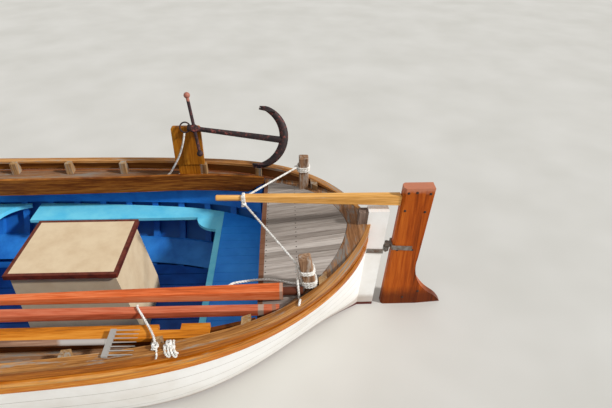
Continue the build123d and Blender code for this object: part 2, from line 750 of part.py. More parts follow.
def hinge_plane(z):
    """A plane square to the hinge axis at height z, its x pointing forward."""
    up = (-sin(rake), 0, cos(rake))
    return Plane(origin=(axis_x(z), 0, z), x_dir=(cos(rake), 0, sin(rake)), z_dir=up)


def lead_x(z):
    """Where the rudder's leading edge stands at height z."""
    return axis_x(z) - BLADE_BEHIND


MORTISE = (38, 50, 100)        # wide, high and deep
with BuildPart() as rudder:
    with BuildSketch(Plane.XZ):
        with BuildLine():
            Line((lead_x(RUDDER_BOTTOM), RUDDER_BOTTOM), (lead_x(RUDDER_TOP), RUDDER_TOP))
            Line((lead_x(RUDDER_TOP), RUDDER_TOP), (-2948, RUDDER_TOP))
            Line((-2948, RUDDER_TOP), (-2908, 377))
            ThreePointArc((-2908, 377), (-2932, 190), (-3035, 70))
            ThreePointArc((-3035, 70), (-3110, -20), (-3130, -110))
            ThreePointArc((-3130, -110), (-3095, -330), (-2960, RUDDER_BOTTOM))
            Line((-2960, RUDDER_BOTTOM), (lead_x(RUDDER_BOTTOM), RUDDER_BOTTOM))
        make_face()
    extrude(amount=RUDDER_THICK / 2, both=True)
    for side in (1, -1):
        with BuildSketch(Plane.XY.offset(-500)):
            with BuildLine():
                Polyline((-2925, side * 36), (-3200, side * 36), (-3200, side * 12), close=True)
            make_face()
        extrude(amount=870, mode=Mode.SUBTRACT)
    with Locations((lead_x(TILLER_Z) - MORTISE[2] / 2 + 8, 0, TILLER_Z)):
        Box(MORTISE[2] + 16, MORTISE[0], MORTISE[1], mode=Mode.SUBTRACT)
    chamfer(rudder.edges().filter_by(lambda edge: edge.length > 1200), 14)
save(rudder.part, "rudder")

shoulder_x = lead_x(TILLER_Z - TILLER_DEEP / 2) + 3
GRIP = 160
with BuildPart() as tiller:
    shoulder = (shoulder_x, TILLER_Z, TILLER_WIDE, TILLER_DEEP)
    for x, z, wide, deep in (shoulder, (TILLER_TIP - GRIP, 819, 36, 38)):
        with BuildSketch(Plane(origin=(x, 0, z), x_dir=(0, 1, 0), z_dir=(1, 0, 0))):
            RectangleRounded(wide, deep, 5)
    loft()
    grip_start = (TILLER_TIP - GRIP - 1, 0, 819)
    with BuildSketch(Plane(origin=grip_start, x_dir=(0, 1, 0), z_dir=(1, 0, 0.02))):
        Circle(17)
    extrude(amount=GRIP + 1)
    fillet(tiller.faces().sort_by(Axis.X)[-1].edges(), 8)
    tenon = (MORTISE[2] + 3, MORTISE[0] - 2 * GAP, MORTISE[1] - 2 * GAP)
    with Locations((shoulder_x + 1, 0, TILLER_Z)):
        Box(*tenon, align=(Align.MAX, Align.CENTER, Align.CENTER))
save(tiller.part, "tiller")

STRAP = 5
STRAP_HIGH = 30
strap_y = POST_SIDING / 2 + GAP + STRAP / 2
HINGE_HEIGHTS = (440, -230)
with BuildPart() as gudgeons:
    for z in HINGE_HEIGHTS:
        plane = hinge_plane(z)
        with BuildSketch(plane.offset(-STRAP_HIGH / 2)):
            Circle(17)
            with Locations((13, 0)):
                Rectangle(28, 24)
            with Locations((AXIS_BEHIND - GAP - STRAP / 2 - 0.3, 0)):
                Rectangle(STRAP, POST_SIDING + 2 * GAP + 2 * STRAP)
            with Locations((AXIS_BEHIND + 45, strap_y), (AXIS_BEHIND + 45, -strap_y)):
                Rectangle(100, STRAP)
            Circle(PIN / 2 + 0.5, mode=Mode.SUBTRACT)
        extrude(amount=STRAP_HIGH)
save(gudgeons.part, "gudgeons")
with BuildPart() as pintles:
    for z in HINGE_HEIGHTS:
        plane = hinge_plane(z)
        with BuildSketch(plane.offset(STRAP_HIGH / 2 + 1)):
            Circle(15)
            with Locations((-14, 0)):
                Rectangle(26, 24)
            with Locations((-BLADE_BEHIND + GAP + STRAP / 2 + 0.6, 0)):
                Rectangle(STRAP, RUDDER_THICK + 2 * GAP + 2 * STRAP)
            with Locations((-BLADE_BEHIND - 57, strap_y), (-BLADE_BEHIND - 57, -strap_y)):
                Rectangle(124, STRAP)
        extrude(amount=STRAP_HIGH)
        with BuildSketch(plane.offset(-STRAP_HIGH / 2 - 12)):
            Circle(PIN / 2)
        extrude(amount=STRAP_HIGH + 20)
save(pintles.part, "pintles")

# Mooring bitts
BITT = 62
with BuildPart() as stern_bitts:
    for x, y, lean, high in ((-2222, -496, 0, 240), (-2246, 482, 10, 215)):
        with BuildSketch(Plane(origin=(x, y, 480)).rotated((0, lean, 0))):
            RectangleRounded(BITT, BITT, 9)
        extrude(amount=high + 90)
    tops = stern_bitts.faces().group_by(Axis.Z)
    chamfer(tops[-1].edges() + tops[-2].edges(), 5)
    add(below_aft, mode=Mode.SUBTRACT)
save(stern_bitts.part, "stern_bitts")
with BuildPart() as bow_bitt:
    with BuildSketch(Plane(origin=(1760, 0, 500))):
        RectangleRounded(86, 86, 10)
    extrude(amount=340)
    chamfer(bow_bitt.faces().sort_by(Axis.Z)[-1].edges(), 8)
    with BuildSketch(Plane(origin=(1760, 0, 780), x_dir=(1, 0, 0), z_dir=(0, 1, 0))):
        Circle(13)
    extrude(amount=110, both=True)
    add(below_fore, mode=Mode.SUBTRACT)
save(bow_bitt.part, "bow_bitt")

# Anchor stowed on its bracket at the starboard rail
crown = Vector(-2086, -750, 803)
head = Vector(-1461, -750, 902)
shank_dir = (head - crown).normalized()
arm_dir = Vector(40, 90, -186)
arm_dir = (arm_dir - shank_dir * arm_dir.dot(shank_dir)).normalized()
SHANK = 652
SHANK_HALF = 13
ARM_REACH = 205
ARM_BACK = 180
EYE = 604                      # along the shank, where the stock passes
RING_HOLE = 634
anchor_plane = Plane(origin=crown, x_dir=shank_dir, z_dir=shank_dir.cross(arm_dir))
with BuildPart() as anchor:
    with BuildSketch(anchor_plane):
        with BuildLine():
            half_shank = [(0, 17), (565, 11), (585, 15), (SHANK, 15)]
            Polyline(*half_shank, *[(x, -y) for x, y in reversed(half_shank)], close=True)
        make_face()
    extrude(amount=SHANK_HALF, both=True)
    with BuildLine(anchor_plane) as arms:
        ThreePointArc((ARM_BACK, -ARM_REACH), (-6, 0), (ARM_BACK, ARM_REACH))
    arm_start = arms.line @ 0
    with BuildSketch(Plane(origin=arm_start, x_dir=anchor_plane.z_dir, z_dir=arms.line % 0)):
        Rectangle(22, 28)
    sweep(path=arms.line)
    for end in (1, -1):
        palm_middle = anchor_plane.from_local_coords(Vector(ARM_BACK - 46, end * (ARM_REACH - 20), 0))
        palm = Plane(origin=palm_middle, x_dir=anchor_plane.z_dir, z_dir=anchor_plane.y_dir * -end)
        with BuildSketch(palm):
            Ellipse(46, 68)
        extrude(amount=5, both=True)
    ring_hole = anchor_plane.from_local_coords(Vector(RING_HOLE, 0, 0))
    with Locations(Plane(origin=ring_hole, z_dir=anchor_plane.y_dir)):
        Cylinder(7.5, 60, mode=Mode.SUBTRACT)
    eye = anchor_plane.from_local_coords(Vector(EYE, 0, 0))
    stock_plane = Plane(origin=eye, z_dir=Vector(30, -50, 200))
    with Locations(stock_plane):
        Cylinder(11 + GAP, 90, mode=Mode.SUBTRACT)
save(anchor.part, "anchor")
with BuildPart() as anchor_stock:
    with Locations(stock_plane.offset(25)):
        Cylinder(11, 410)
    with Locations(stock_plane.offset(225), stock_plane.offset(-175)):
        Sphere(21)
save(anchor_stock.part, "anchor_stock")
with BuildPart() as anchor_ring:
    ring_middle = anchor_plane.from_local_coords(Vector(RING_HOLE + 32.3, 0, 0))
    with Locations(Plane(origin=ring_middle, z_dir=anchor_plane.z_dir)):
        Torus(34, 5)
save(anchor_ring.part, "anchor_ring")
BOARD_FOOT = 610
BOARD_Y = crown.Y - 17.4
with BuildPart() as anchor_bracket:
    with Locations((-1425, BOARD_Y, BOARD_FOOT)):
        Box(200, 28, 290, align=(Align.CENTER, Align.MAX, Align.MIN))
    fillet(anchor_bracket.edges().filter_by(Axis.Y).group_by(Axis.Z)[-1], 18)
    with Locations((-1414, BOARD_Y - 8, 440)):
        Box(146, 64, BOARD_FOOT - 440 + 2, align=(Align.CENTER, Align.MAX, Align.MIN))
    add(below_side, mode=Mode.SUBTRACT)
save(anchor_bracket.part, "anchor_bracket")

# Oars, lying on both decks with their handles aft and their blades on edge
# Name, handle end x, y and z, where the line points after one metre, loom at the handle and at its end
OARS = [
    ("oar_inboard", -2186, 521, 592.2, 12, -2.3, 64, 42, True),
    ("oar_outboard", -2066, 624, 565.9, 6, 5.7, 42, 50, False),
]
OAR_LENGTH = 3380
LOOM = 1560
BLADE = 820
BLADE_WIDE = 104
BLADE_TURN = 78                # degrees that the blades stand from flat
for oar_name, x, y, z, drift, climb, loom_start, loom_end, has_grip in OARS:
    line = Vector(1000, drift, climb).normalized()
    oar_plane = Plane(origin=(x, y, z), x_dir=(0, 1, 0), z_dir=line)
    grip = 102 if has_grip else 0
    with BuildPart() as oar:
        if has_grip:
            with BuildSketch(oar_plane):
                Circle(22)
            extrude(amount=grip + 1)
        with BuildSketch(oar_plane.offset(grip)):
            RectangleRounded(loom_start, loom_start, 6)
        with BuildSketch(oar_plane.offset(LOOM)):
            RectangleRounded(loom_end, loom_end, 9)
        loft()
        with BuildSketch(oar_plane.offset(LOOM)):
            Circle(loom_end / 2 - 1)
        with BuildSketch(oar_plane.offset(OAR_LENGTH - BLADE)):
            Circle(17)
        loft()
        across = oar_plane.x_dir * cos(radians(BLADE_TURN)) + oar_plane.y_dir * sin(radians(BLADE_TURN))
        blade_plane = Plane(origin=(x, y, z), x_dir=across, z_dir=line)
        with BuildSketch(blade_plane.offset(OAR_LENGTH - BLADE - 1)):
            Ellipse(17, 16)
        with BuildSketch(blade_plane.offset(OAR_LENGTH - BLADE + 320)):
            Ellipse(BLADE_WIDE / 2, 11)
        with BuildSketch(blade_plane.offset(OAR_LENGTH - 6)):
            Ellipse(BLADE_WIDE / 2 - 4, 6)
        loft()
    save(oar.part, oar_name)

# Notched plank lying on the port coaming
PLANK_WIDE = 88
PLANK_DEEP = 26
notched_plane = Plane(origin=(-1738, 750, 546), x_dir=(1, -0.015, -0.0184), z_dir=(0.0184, 0, 1))
with BuildPart() as notched_plank:
    with BuildSketch(notched_plane):
        with BuildLine():
            Polyline(
                (0, -PLANK_WIDE / 2),
                (136, -PLANK_WIDE / 2),
                (136, -PLANK_WIDE / 2 + 38),
                (244, -PLANK_WIDE / 2 + 38),
                (244, -PLANK_WIDE / 2),
                (2040, -PLANK_WIDE / 2),
                (2040, PLANK_WIDE / 2),
                (0, PLANK_WIDE / 2),
                close=True,
            )
        make_face()
    extrude(amount=PLANK_DEEP)
    chamfer(notched_plank.edges().filter_by(lambda e: e.length > 1700), 3)
save(notched_plank.part, "notched_plank")

# Fish spear, its head on the port rail
SPEAR_LONG = 2790
spear_plane = Plane(origin=(-1287, 830, 596), x_dir=(0, 1, 0), z_dir=(2787, 0, 22.3))
with BuildPart() as fish_spear:
    with BuildSketch(spear_plane):
        Circle(14)
    extrude(amount=SPEAR_LONG)
    with BuildSketch(spear_plane.offset(-24)):
        with Locations((0, -8.2)):
            Rectangle(160, 11)
    extrude(amount=26)
    for i in range(7):
        with BuildSketch(spear_plane.offset(-22)):
            with Locations((-72 + i * 24, -4)):
                Circle(3.4)
        extrude(amount=-112, taper=1)
save(fish_spear.part, "fish_spear")

# Ropes that lie free: x, y and z of each point of their routes
ROPE = 14                      # diameter
ANCHOR_ROPE = [
    (-1422.3, -733, 872),
    (-1417, -719.5, 843),
    (-1407, -716, 806),
    (-1393, -722, 765),
    (-1376, -732, 722),
    (-1355, -743, 678),
    (-1331, -753, 634),
    (-1305, -765, 590),
    (-1283, -783, 549),
    (-1257, -788, 518),
    (-1222, -786, 501.5),
    (-1175, -787.5, 497),
    (-1122, -785.5, 495.6),
    (-1070, -787.5, 494.1),
    (-1016, -786, 492.6),
]
DECK_ROPE = [
    (-2194.6, 466, 583.1),
    (-2150, 456, 577.8),
    (-2100, 436, 572.4),
    (-2050, 414, 567.1),
    (-2000, 399, 561.3),
    (-1952, 395, 556.5),
    (-1902, 405, 560),
    (-1852, 424, 569),
    (-1812, 444, 577),
    (-1790, 491.9, 587),
]
for rope_name, route in (("anchor_rope", ANCHOR_ROPE), ("deck_rope", DECK_ROPE)):
    points = [Vector(*point) for point in route]
    arc_radii = []
    for before, here, after in zip(points, points[1:], points[2:]):
        half_turn = radians((here - before).get_angle(after - here) / 2)
        shorter = min((here - before).length, (after - here).length)
        arc_radii.append(0.45 * shorter / tan(half_turn))
    with BuildPart() as rope:
        with BuildLine() as path:
            FilletPolyline(*points, radius=arc_radii)
        with BuildSketch(Plane(origin=points[0], z_dir=points[1] - points[0])):
            Circle(ROPE / 2)
        sweep(path=path.line)
    length = path.wires()[0].length
    print(rope_name, "length", round(length), "arc radii", [round(radius) for radius in arc_radii])
    print("volume over section times length", rope.part.volume / (length * pi * ROPE ** 2 / 4))
    save(rope.part, rope_name)
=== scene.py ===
# %% [markdown]
# # A wooden rowing and motor boat, afloat
# The boat's frame is already built in millimetre-true CAD, and this lesson dresses it. Every
# piece of the frame comes in as its own object, in metres, with the waterline at z = 0, the bow
# along +X and port along +Y. We add paint, varnish, ropes and fastenings, light and one camera.

import math

import bmesh
import bpy
from mathutils import Matrix, Vector


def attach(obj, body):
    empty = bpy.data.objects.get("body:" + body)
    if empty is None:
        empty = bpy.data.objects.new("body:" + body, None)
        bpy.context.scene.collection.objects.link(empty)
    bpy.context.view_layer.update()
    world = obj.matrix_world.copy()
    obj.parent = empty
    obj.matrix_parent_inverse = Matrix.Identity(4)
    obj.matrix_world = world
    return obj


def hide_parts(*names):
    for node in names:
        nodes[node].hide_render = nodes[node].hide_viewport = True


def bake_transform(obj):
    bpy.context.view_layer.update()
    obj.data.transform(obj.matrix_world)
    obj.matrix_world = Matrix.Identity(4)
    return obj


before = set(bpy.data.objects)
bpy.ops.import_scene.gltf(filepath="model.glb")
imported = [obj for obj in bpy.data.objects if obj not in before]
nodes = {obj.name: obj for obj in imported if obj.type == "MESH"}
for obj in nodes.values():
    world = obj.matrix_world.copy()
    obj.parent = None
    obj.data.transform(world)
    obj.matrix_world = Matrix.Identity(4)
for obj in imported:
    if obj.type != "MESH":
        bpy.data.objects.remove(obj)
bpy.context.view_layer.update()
bpy.ops.object.select_all(action="DESELECT")

# %% [markdown]
# ## Camera
# The view looks down by 34 degrees on the after half of the boat, from its port side. We could
# guess such a view by eye, but a camera can be worked out from a few known sizes on the boat, so
# its numbers are written down: where it stands, how long its lens is, and how far it looks down,
# turns and tilts.

# %% The camera's numbers
CAMERA_PLACE = Vector((-2.12349, 2.42892, 2.4))
FOCAL_PIXELS = 510.4866
IMAGE_WIDTH = 612
SENSOR_WIDTH = 36
PITCH, YAW, ROLL = 0.5904189, 0.0394454, 0.0057030

level = Vector((-math.sin(YAW), -math.cos(YAW), 0))
looking = level * math.cos(PITCH) - Vector((0, 0, math.sin(PITCH)))
right = looking.cross(Vector((0, 0, 1))).normalized()
up = right.cross(looking)
level_right = right
right = level_right * math.cos(ROLL) + up * math.sin(ROLL)
up = up * math.cos(ROLL) - level_right * math.sin(ROLL)

camera_data = bpy.data.cameras.new("stern_camera")
camera_data.sensor_width = SENSOR_WIDTH
camera_data.lens = SENSOR_WIDTH * FOCAL_PIXELS / IMAGE_WIDTH
camera = bpy.data.objects.new("stern_camera", camera_data)
camera.matrix_world = Matrix((
    (right.x, up.x, -looking.x, CAMERA_PLACE.x),
    (right.y, up.y, -looking.y, CAMERA_PLACE.y),
    (right.z, up.z, -looking.z, CAMERA_PLACE.z),
    (0, 0, 0, 1),
))
bpy.context.collection.objects.link(camera)
bpy.context.scene.camera = camera
print("lens", round(camera_data.lens, 2), "mm")

# %% [markdown]
# ## Small tools
# Blender's node editor is a picture of boxes and wires. In a script one short function draws a
# box, sets its values and plugs its wires, and the rest of the lesson only calls it. Colours are
# written as they look on the screen, in sRGB hex, and turned to the linear values that light is
# worked out with.

# %% Colour and node helpers
def colour(hex_code):
    """An sRGB hex colour as linear red, green, blue and alpha."""
    parts = [int(hex_code[i:i + 2], 16) / 255 for i in (1, 3, 5)]
    return [c / 12.92 if c <= 0.04045 else ((c + 0.055) / 1.055) ** 2.4 for c in parts] + [1.0]


def box(tree, kind, links=(), stops=(), **settings):
    """Add one node to a tree: settings are its own values, links are (socket, what goes in), and
    stops are the (place, sRGB hex) of a colour ramp."""
    made = tree.nodes.new(kind)
    for name, value in settings.items():
        setattr(made, name, value)
    for i, (spot, code) in enumerate(stops):
        bar = made.color_ramp.elements
        stop = bar[i] if i < len(bar) else bar.new(spot)
        stop.position = spot
        stop.color = colour(code)
    for socket, value in links:
        target = made.inputs[socket]
        if isinstance(value, bpy.types.NodeSocket):
            tree.links.new(value, target)
        else:
            target.default_value = value
    return made


def new_material(name):
    """An empty material with its tree, its shader and the object's own coordinates."""
    material = bpy.data.materials.new(name)
    material.use_nodes = True
    tree = material.node_tree
    shader = tree.nodes["Principled BSDF"]
    place = box(tree, "ShaderNodeTexCoord").outputs["Object"]
    return material, tree, shader, place


def paint_nodes(names, material):
    """Give CAD nodes their finish."""
    for name in names:
        mesh = nodes[name].data
        mesh.materials.clear()
        mesh.materials.append(material)


print("helpers ready")

# %% [markdown]
# ## The floor at the waterline
# A boat afloat sinks into the surface that carries it, so the pale floor lies at z = 0 and needs
# a hole where the hull goes through, or it would show inside the cockpit. The hole could be
# drawn by hand, but the hull knows its own outline: a ray is sent in from the side at many
# places along the boat, and the hole's edge is put just inside the outer face of the planks.

# %% Floor with the hull's outline left out
INTO_PLANK = 0.008
EDGE_AT_POSTS = 0.012
HOLE_ENDS = (-2.585, 2.575)
EDGE_STEPS = 60
FLOOR_REACH = 40


def half_breadth(side_name, x):
    """How far from the centreline the hull's outside is at the waterline."""
    side = 1 if side_name == "port" else -1
    start = Vector((x, side * 2.0, 0.001))
    hit, spot, _, _ = nodes[f"planking_{side_name}"].ray_cast(start, Vector((0, -side, 0)))
    return abs(spot.y) - INTO_PLANK if hit else EDGE_AT_POSTS


floor_mesh = bpy.data.meshes.new("floor")
sketch = bmesh.new()
hole_length = HOLE_ENDS[1] - HOLE_ENDS[0]
xs = [HOLE_ENDS[0] + hole_length * i / EDGE_STEPS for i in range(EDGE_STEPS + 1)]
for side_name, side in (("port", 1), ("starboard", -1)):
    inner = [sketch.verts.new((x, side * half_breadth(side_name, x), 0)) for x in xs]
    outer = [sketch.verts.new((x, side * FLOOR_REACH, 0)) for x in xs]
    for i in range(EDGE_STEPS):
        loop = [inner[i], inner[i + 1], outer[i + 1], outer[i]]
        sketch.faces.new(loop if side < 0 else loop[::-1])
for x, far in ((HOLE_ENDS[0], -FLOOR_REACH), (HOLE_ENDS[1], FLOOR_REACH)):
    corners = [(x, -FLOOR_REACH, 0), (x, FLOOR_REACH, 0),
               (far, FLOOR_REACH, 0), (far, -FLOOR_REACH, 0)]
    sketch.faces.new([sketch.verts.new(corner) for corner in corners])
bmesh.ops.recalc_face_normals(sketch, faces=sketch.faces)
sketch.to_mesh(floor_mesh)
sketch.free()
floor = bpy.data.objects.new("floor", floor_mesh)
bpy.context.collection.objects.link(floor)

material, tree, shader, place = new_material("matt_studio_board")
tone = box(tree, "ShaderNodeTexNoise", [
    ("Vector", place), ("Scale", 1.5), ("Detail", 2),
]).outputs[0]
board = box(tree, "ShaderNodeValToRGB", [("Fac", tone)], [(0.3, "#cfcdc6"), (0.7, "#d8d6d0")])
tree.links.new(board.outputs[0], shader.inputs["Base Color"])
shader.inputs["Roughness"].default_value = 0.9
shader.inputs["Specular IOR Level"].default_value = 0.2
floor_mesh.materials.append(material)
print("floor faces", len(floor_mesh.polygons))

# %% [markdown]
# ## Light
# The real boat lies in a low sun that comes from astern and a little from port: it throws the
# tiller's shadow across the deck and on to the engine box. A soft sun from the same side keeps
# that, and an even white surround fills its shadows. Together they light an upright-facing
# surface to about the colour that is written for it.

# %% Sun and surround
SUN_TRAVEL = Vector((1.35, -0.5, -1.0))
SUN_STRENGTH = 2.9
SUN_SOFTNESS = math.radians(5)
SURROUND_STRENGTH = 0.5
BACKGROUND_SEEN = 0.95
WHITE = (1, 1, 1, 1)

sun_data = bpy.data.lights.new("soft_sun", "SUN")
sun_data.energy = SUN_STRENGTH
sun_data.angle = SUN_SOFTNESS
sun = bpy.data.objects.new("soft_sun", sun_data)
sun.rotation_euler = SUN_TRAVEL.to_track_quat("-Z", "Y").to_euler()
bpy.context.collection.objects.link(sun)

world = bpy.data.worlds.new("white_surround")
bpy.context.scene.world = world
world.use_nodes = True
tree = world.node_tree
tree.nodes.clear()
path = box(tree, "ShaderNodeLightPath")
lamp = box(tree, "ShaderNodeBackground", [("Color", WHITE), ("Strength", SURROUND_STRENGTH)])
seen = box(tree, "ShaderNodeBackground", [("Color", WHITE), ("Strength", BACKGROUND_SEEN)])
mixed = box(tree, "ShaderNodeMixShader", [
    (0, path.outputs["Is Camera Ray"]), (1, lamp.outputs[0]), (2, seen.outputs[0]),
])
box(tree, "ShaderNodeOutputWorld", [("Surface", mixed.outputs[0])])
bpy.context.scene.view_settings.view_transform = "Standard"
print("sun comes down at", round(math.degrees(math.asin(1 / SUN_TRAVEL.length)), 1), "degrees")

# %% [markdown]
# ## Wood
# Nearly all of the boat is wood, and most of it has lost some of its varnish. Grain could be an
# image, but a noise that is drawn out along one axis gives long fibres at any place on any
# piece. The real fibres are about 1 mm apart, too fine to show from here, so they are drawn
# 7 mm apart. Along the rails the fibres follow the boat's curve, so there the place is measured
# from the rail's own line: the line's height and breadth are worked out from x and taken off.

# %% Timber
FIBRE = 0.007
STRETCH = 0.045
GRAIN_BUMP = 0.25
WEAR_SIZE = 0.035
WEAR_STRETCH = 0.14
DECK_PLANK = 0.045

FIBRE_DIRECTIONS = {
    "x": (STRETCH, 1, 1), "y": (1, STRETCH, 1), "z": (1, 1, STRETCH),
    "deck": (STRETCH, 1, 0.08), "side": (STRETCH, 0.08, 1), "rail": (STRETCH, 1, 1),
}
HALF_LENGTH = 2.6
SHEER_RISE = 0.11 / HALF_LENGTH ** 2
HALF_BEAM = 0.985
PLAN_BEND, PLAN_END = 0.25, 0.78


def along_rail(tree, place, narrow):
    """The place measured from the rail's line, so that a pattern follows the boat's curve."""
    x, y, z = box(tree, "ShaderNodeSeparateXYZ", [(0, place)]).outputs
    square = box(tree, "ShaderNodeMath", [(0, x), (1, x)], operation="MULTIPLY").outputs[0]
    high = box(tree, "ShaderNodeMath", [(0, square), (1, -SHEER_RISE), (2, z)],
               operation="MULTIPLY_ADD").outputs[0]
    if narrow:
        share = box(tree, "ShaderNodeMath", [(0, square), (1, 1 / HALF_LENGTH ** 2)],
                    operation="MULTIPLY").outputs[0]
        ends = box(tree, "ShaderNodeMath", [(0, share), (1, 4.0)], operation="POWER").outputs[0]
        out = box(tree, "ShaderNodeMath", [(0, y)], operation="ABSOLUTE").outputs[0]
        out = box(tree, "ShaderNodeMath", [(0, share), (1, HALF_BEAM * PLAN_BEND), (2, out)],
                  operation="MULTIPLY_ADD").outputs[0]
        y = box(tree, "ShaderNodeMath", [(0, ends), (1, HALF_BEAM * PLAN_END), (2, out)],
                operation="MULTIPLY_ADD").outputs[0]
    return box(tree, "ShaderNodeCombineXYZ", [(0, x), (1, y), (2, high)]).outputs[0]


def timber(name, tones, along, gloss, bare=None, board=None, fibre=FIBRE):
    """Wood: tones are dark, middle and light of the grain, bare is (hex, share of the surface),
    board is (axis, width) where planks side by side differ in tone."""
    material, tree, shader, place = new_material(name)
    scale = list(FIBRE_DIRECTIONS[along])
    start = along_rail(tree, place, along == "rail") if along in ("side", "rail") else place
    drawn = box(tree, "ShaderNodeMapping", [("Vector", start), ("Scale", scale)]).outputs[0]
    if board:
        axis, width = board
        split = box(tree, "ShaderNodeSeparateXYZ", [(0, place)])
        along_axis = split.outputs["xyz".index(axis)]
        count = box(tree, "ShaderNodeMath", [
            (0, along_axis), (1, width),
        ], operation="DIVIDE").outputs[0]
        number = box(tree, "ShaderNodeMath", [(0, count)], operation="FLOOR").outputs[0]
        offset = box(tree, "ShaderNodeTexWhiteNoise", [("W", number)],
                     noise_dimensions="1D").outputs["Value"]
        apart = box(tree, "ShaderNodeVectorMath", [(0, (3.7, 5.1, 4.3)), ("Scale", offset)],
                    operation="SCALE")
        drawn = box(tree, "ShaderNodeVectorMath", [(0, drawn), (1, apart.outputs[0])]).outputs[0]
    fine = box(tree, "ShaderNodeTexNoise", [
        ("Vector", drawn), ("Scale", 1 / fibre), ("Detail", 4), ("Roughness", 0.65),
        ("Distortion", 0.3),
    ]).outputs[0]
    broad = box(tree, "ShaderNodeTexNoise", [
        ("Vector", drawn), ("Scale", 0.09 / fibre), ("Detail", 3),
    ]).outputs[0]
    grain = box(tree, "ShaderNodeMix", [(0, 0.5), (2, fine), (3, broad)]).outputs[0]
    dark, middle, light = tones
    wood = box(tree, "ShaderNodeValToRGB", [("Fac", grain)],
               [(0.36, dark), (0.5, middle), (0.64, light)]).outputs[0]
    if board:
        shade = box(tree, "ShaderNodeValToRGB", [("Fac", offset)],
                    [(0.0, "#c6c3c0"), (0.5, "#e2e0de"), (1.0, "#ffffff")]).outputs[0]
        wood = box(tree, "ShaderNodeMix", [(0, 1.0), (6, wood), (7, shade)],
                   data_type="RGBA", blend_type="MULTIPLY").outputs[2]
    if bare:
        code, share = bare
        scale[scale.index(STRETCH)] = WEAR_STRETCH
        streaks = box(tree, "ShaderNodeMapping", [("Vector", start), ("Scale", scale)]).outputs[0]
        patch = box(tree, "ShaderNodeTexNoise", [
            ("Vector", streaks), ("Scale", 1 / WEAR_SIZE), ("Detail", 7), ("Roughness", 0.75),
        ])
        patch = box(tree, "ShaderNodeMapRange", [
            (0, patch.outputs[0]), (1, 0.70 - share * 0.5), (2, 0.80 - share * 0.5),
        ]).outputs[0]
        wood = box(tree, "ShaderNodeMix", [(0, patch), (6, wood), (7, colour(code))],
                   data_type="RGBA").outputs[2]
    tree.links.new(wood, shader.inputs["Base Color"])
    rough = box(tree, "ShaderNodeMapRange", [
        (0, broad), (1, 0.3), (2, 0.7), (3, gloss - 0.08), (4, gloss + 0.15),
    ])
    tree.links.new(rough.outputs[0], shader.inputs["Roughness"])
    shader.inputs["Specular IOR Level"].default_value = 0.15
    bump = box(tree, "ShaderNodeBump", [
        ("Strength", GRAIN_BUMP), ("Distance", 0.002), ("Height", grain),
    ])
    tree.links.new(bump.outputs[0], shader.inputs["Normal"])
    return material


# Larch under old spar varnish: orange where it holds, silver-grey where the weather got in
RAILS = {
    "bulwark": timber(
        "varnished_larch_bulwark", ("#5c3008", "#a85e12", "#d48a30"), "rail", 0.42,
        ("#8f7a60", 0.16),
    ),
    "sheer_strake": timber(
        "varnished_larch_strake", ("#753c08", "#c2690f", "#e59c3e"), "rail", 0.38,
        ("#b8884c", 0.16),
    ),
    "rub_rail": timber(
        "worn_larch_moulding", ("#6b3c10", "#b8742c", "#dca35c"), "rail", 0.5, ("#9a8468", 0.3),
    ),
    "cap_rail": timber(
        "silvered_larch_cap", ("#7c4a1c", "#bb8145", "#dfb077"), "rail", 0.55, ("#9c948a", 0.34),
    ),
    "coaming": timber(
        "old_varnish_coaming", ("#341605", "#7a4012", "#b8742c"), "side", 0.5, ("#80664c", 0.12),
    ),
    "side_deck": timber(
        "worn_side_deck", ("#553622", "#8a6244", "#b58a62"), "deck", 0.6, ("#8f857a", 0.4),
    ),
    "bulwark_stanchions": timber(
        "silvered_stanchion_oak", ("#6a4828", "#a37c50", "#c9a778"), "z", 0.65, ("#a0978a", 0.4),
    ),
}
for piece, finish in RAILS.items():
    paint_nodes([f"{piece}_port", f"{piece}_starboard"], finish)
# Pine and oak that the sun has bleached, each deck plank in a tone of its own
paint_nodes(["aft_covering_board", "fore_covering_board"],
            timber("worn_covering_board", ("#54371f", "#8f6340", "#bb8a5e"), "y", 0.55,
                   ("#857f78", 0.42)))
deck_pine = timber("weathered_deck_pine", ("#968b82", "#bcb1a8", "#dad1c8"), "deck", 0.75, None,
                   ("y", DECK_PLANK))
paint_nodes(["aft_deck", "fore_deck"], deck_pine)
paint_nodes(["deck_beams"],
            timber("beam_pine", ("#5c3618", "#986434", "#bd8850"), "y", 0.6, ("#978b7e", 0.3)))
paint_nodes(["stern_knee"],
            timber("knee_oak", ("#5c4a40", "#8a7568", "#b39f92"), "z", 0.55, ("#a39a92", 0.3)))
paint_nodes(["stern_bitts", "bow_bitt"],
            timber("weathered_bitt_oak", ("#5c412e", "#9a7659", "#c6a385"), "z", 0.7,
                   ("#b3a699", 0.35), None, 0.012))
paint_nodes(["notched_plank"],
            timber("varnished_thwart_board", ("#8a4a10", "#cc7716", "#e89a3a"), "x", 0.4,
                   ("#d0a068", 0.08)))
paint_nodes(["anchor_bracket"],
            timber("varnished_bracket_pine", ("#6b3c08", "#a96412", "#cd8a28"), "z", 0.45))
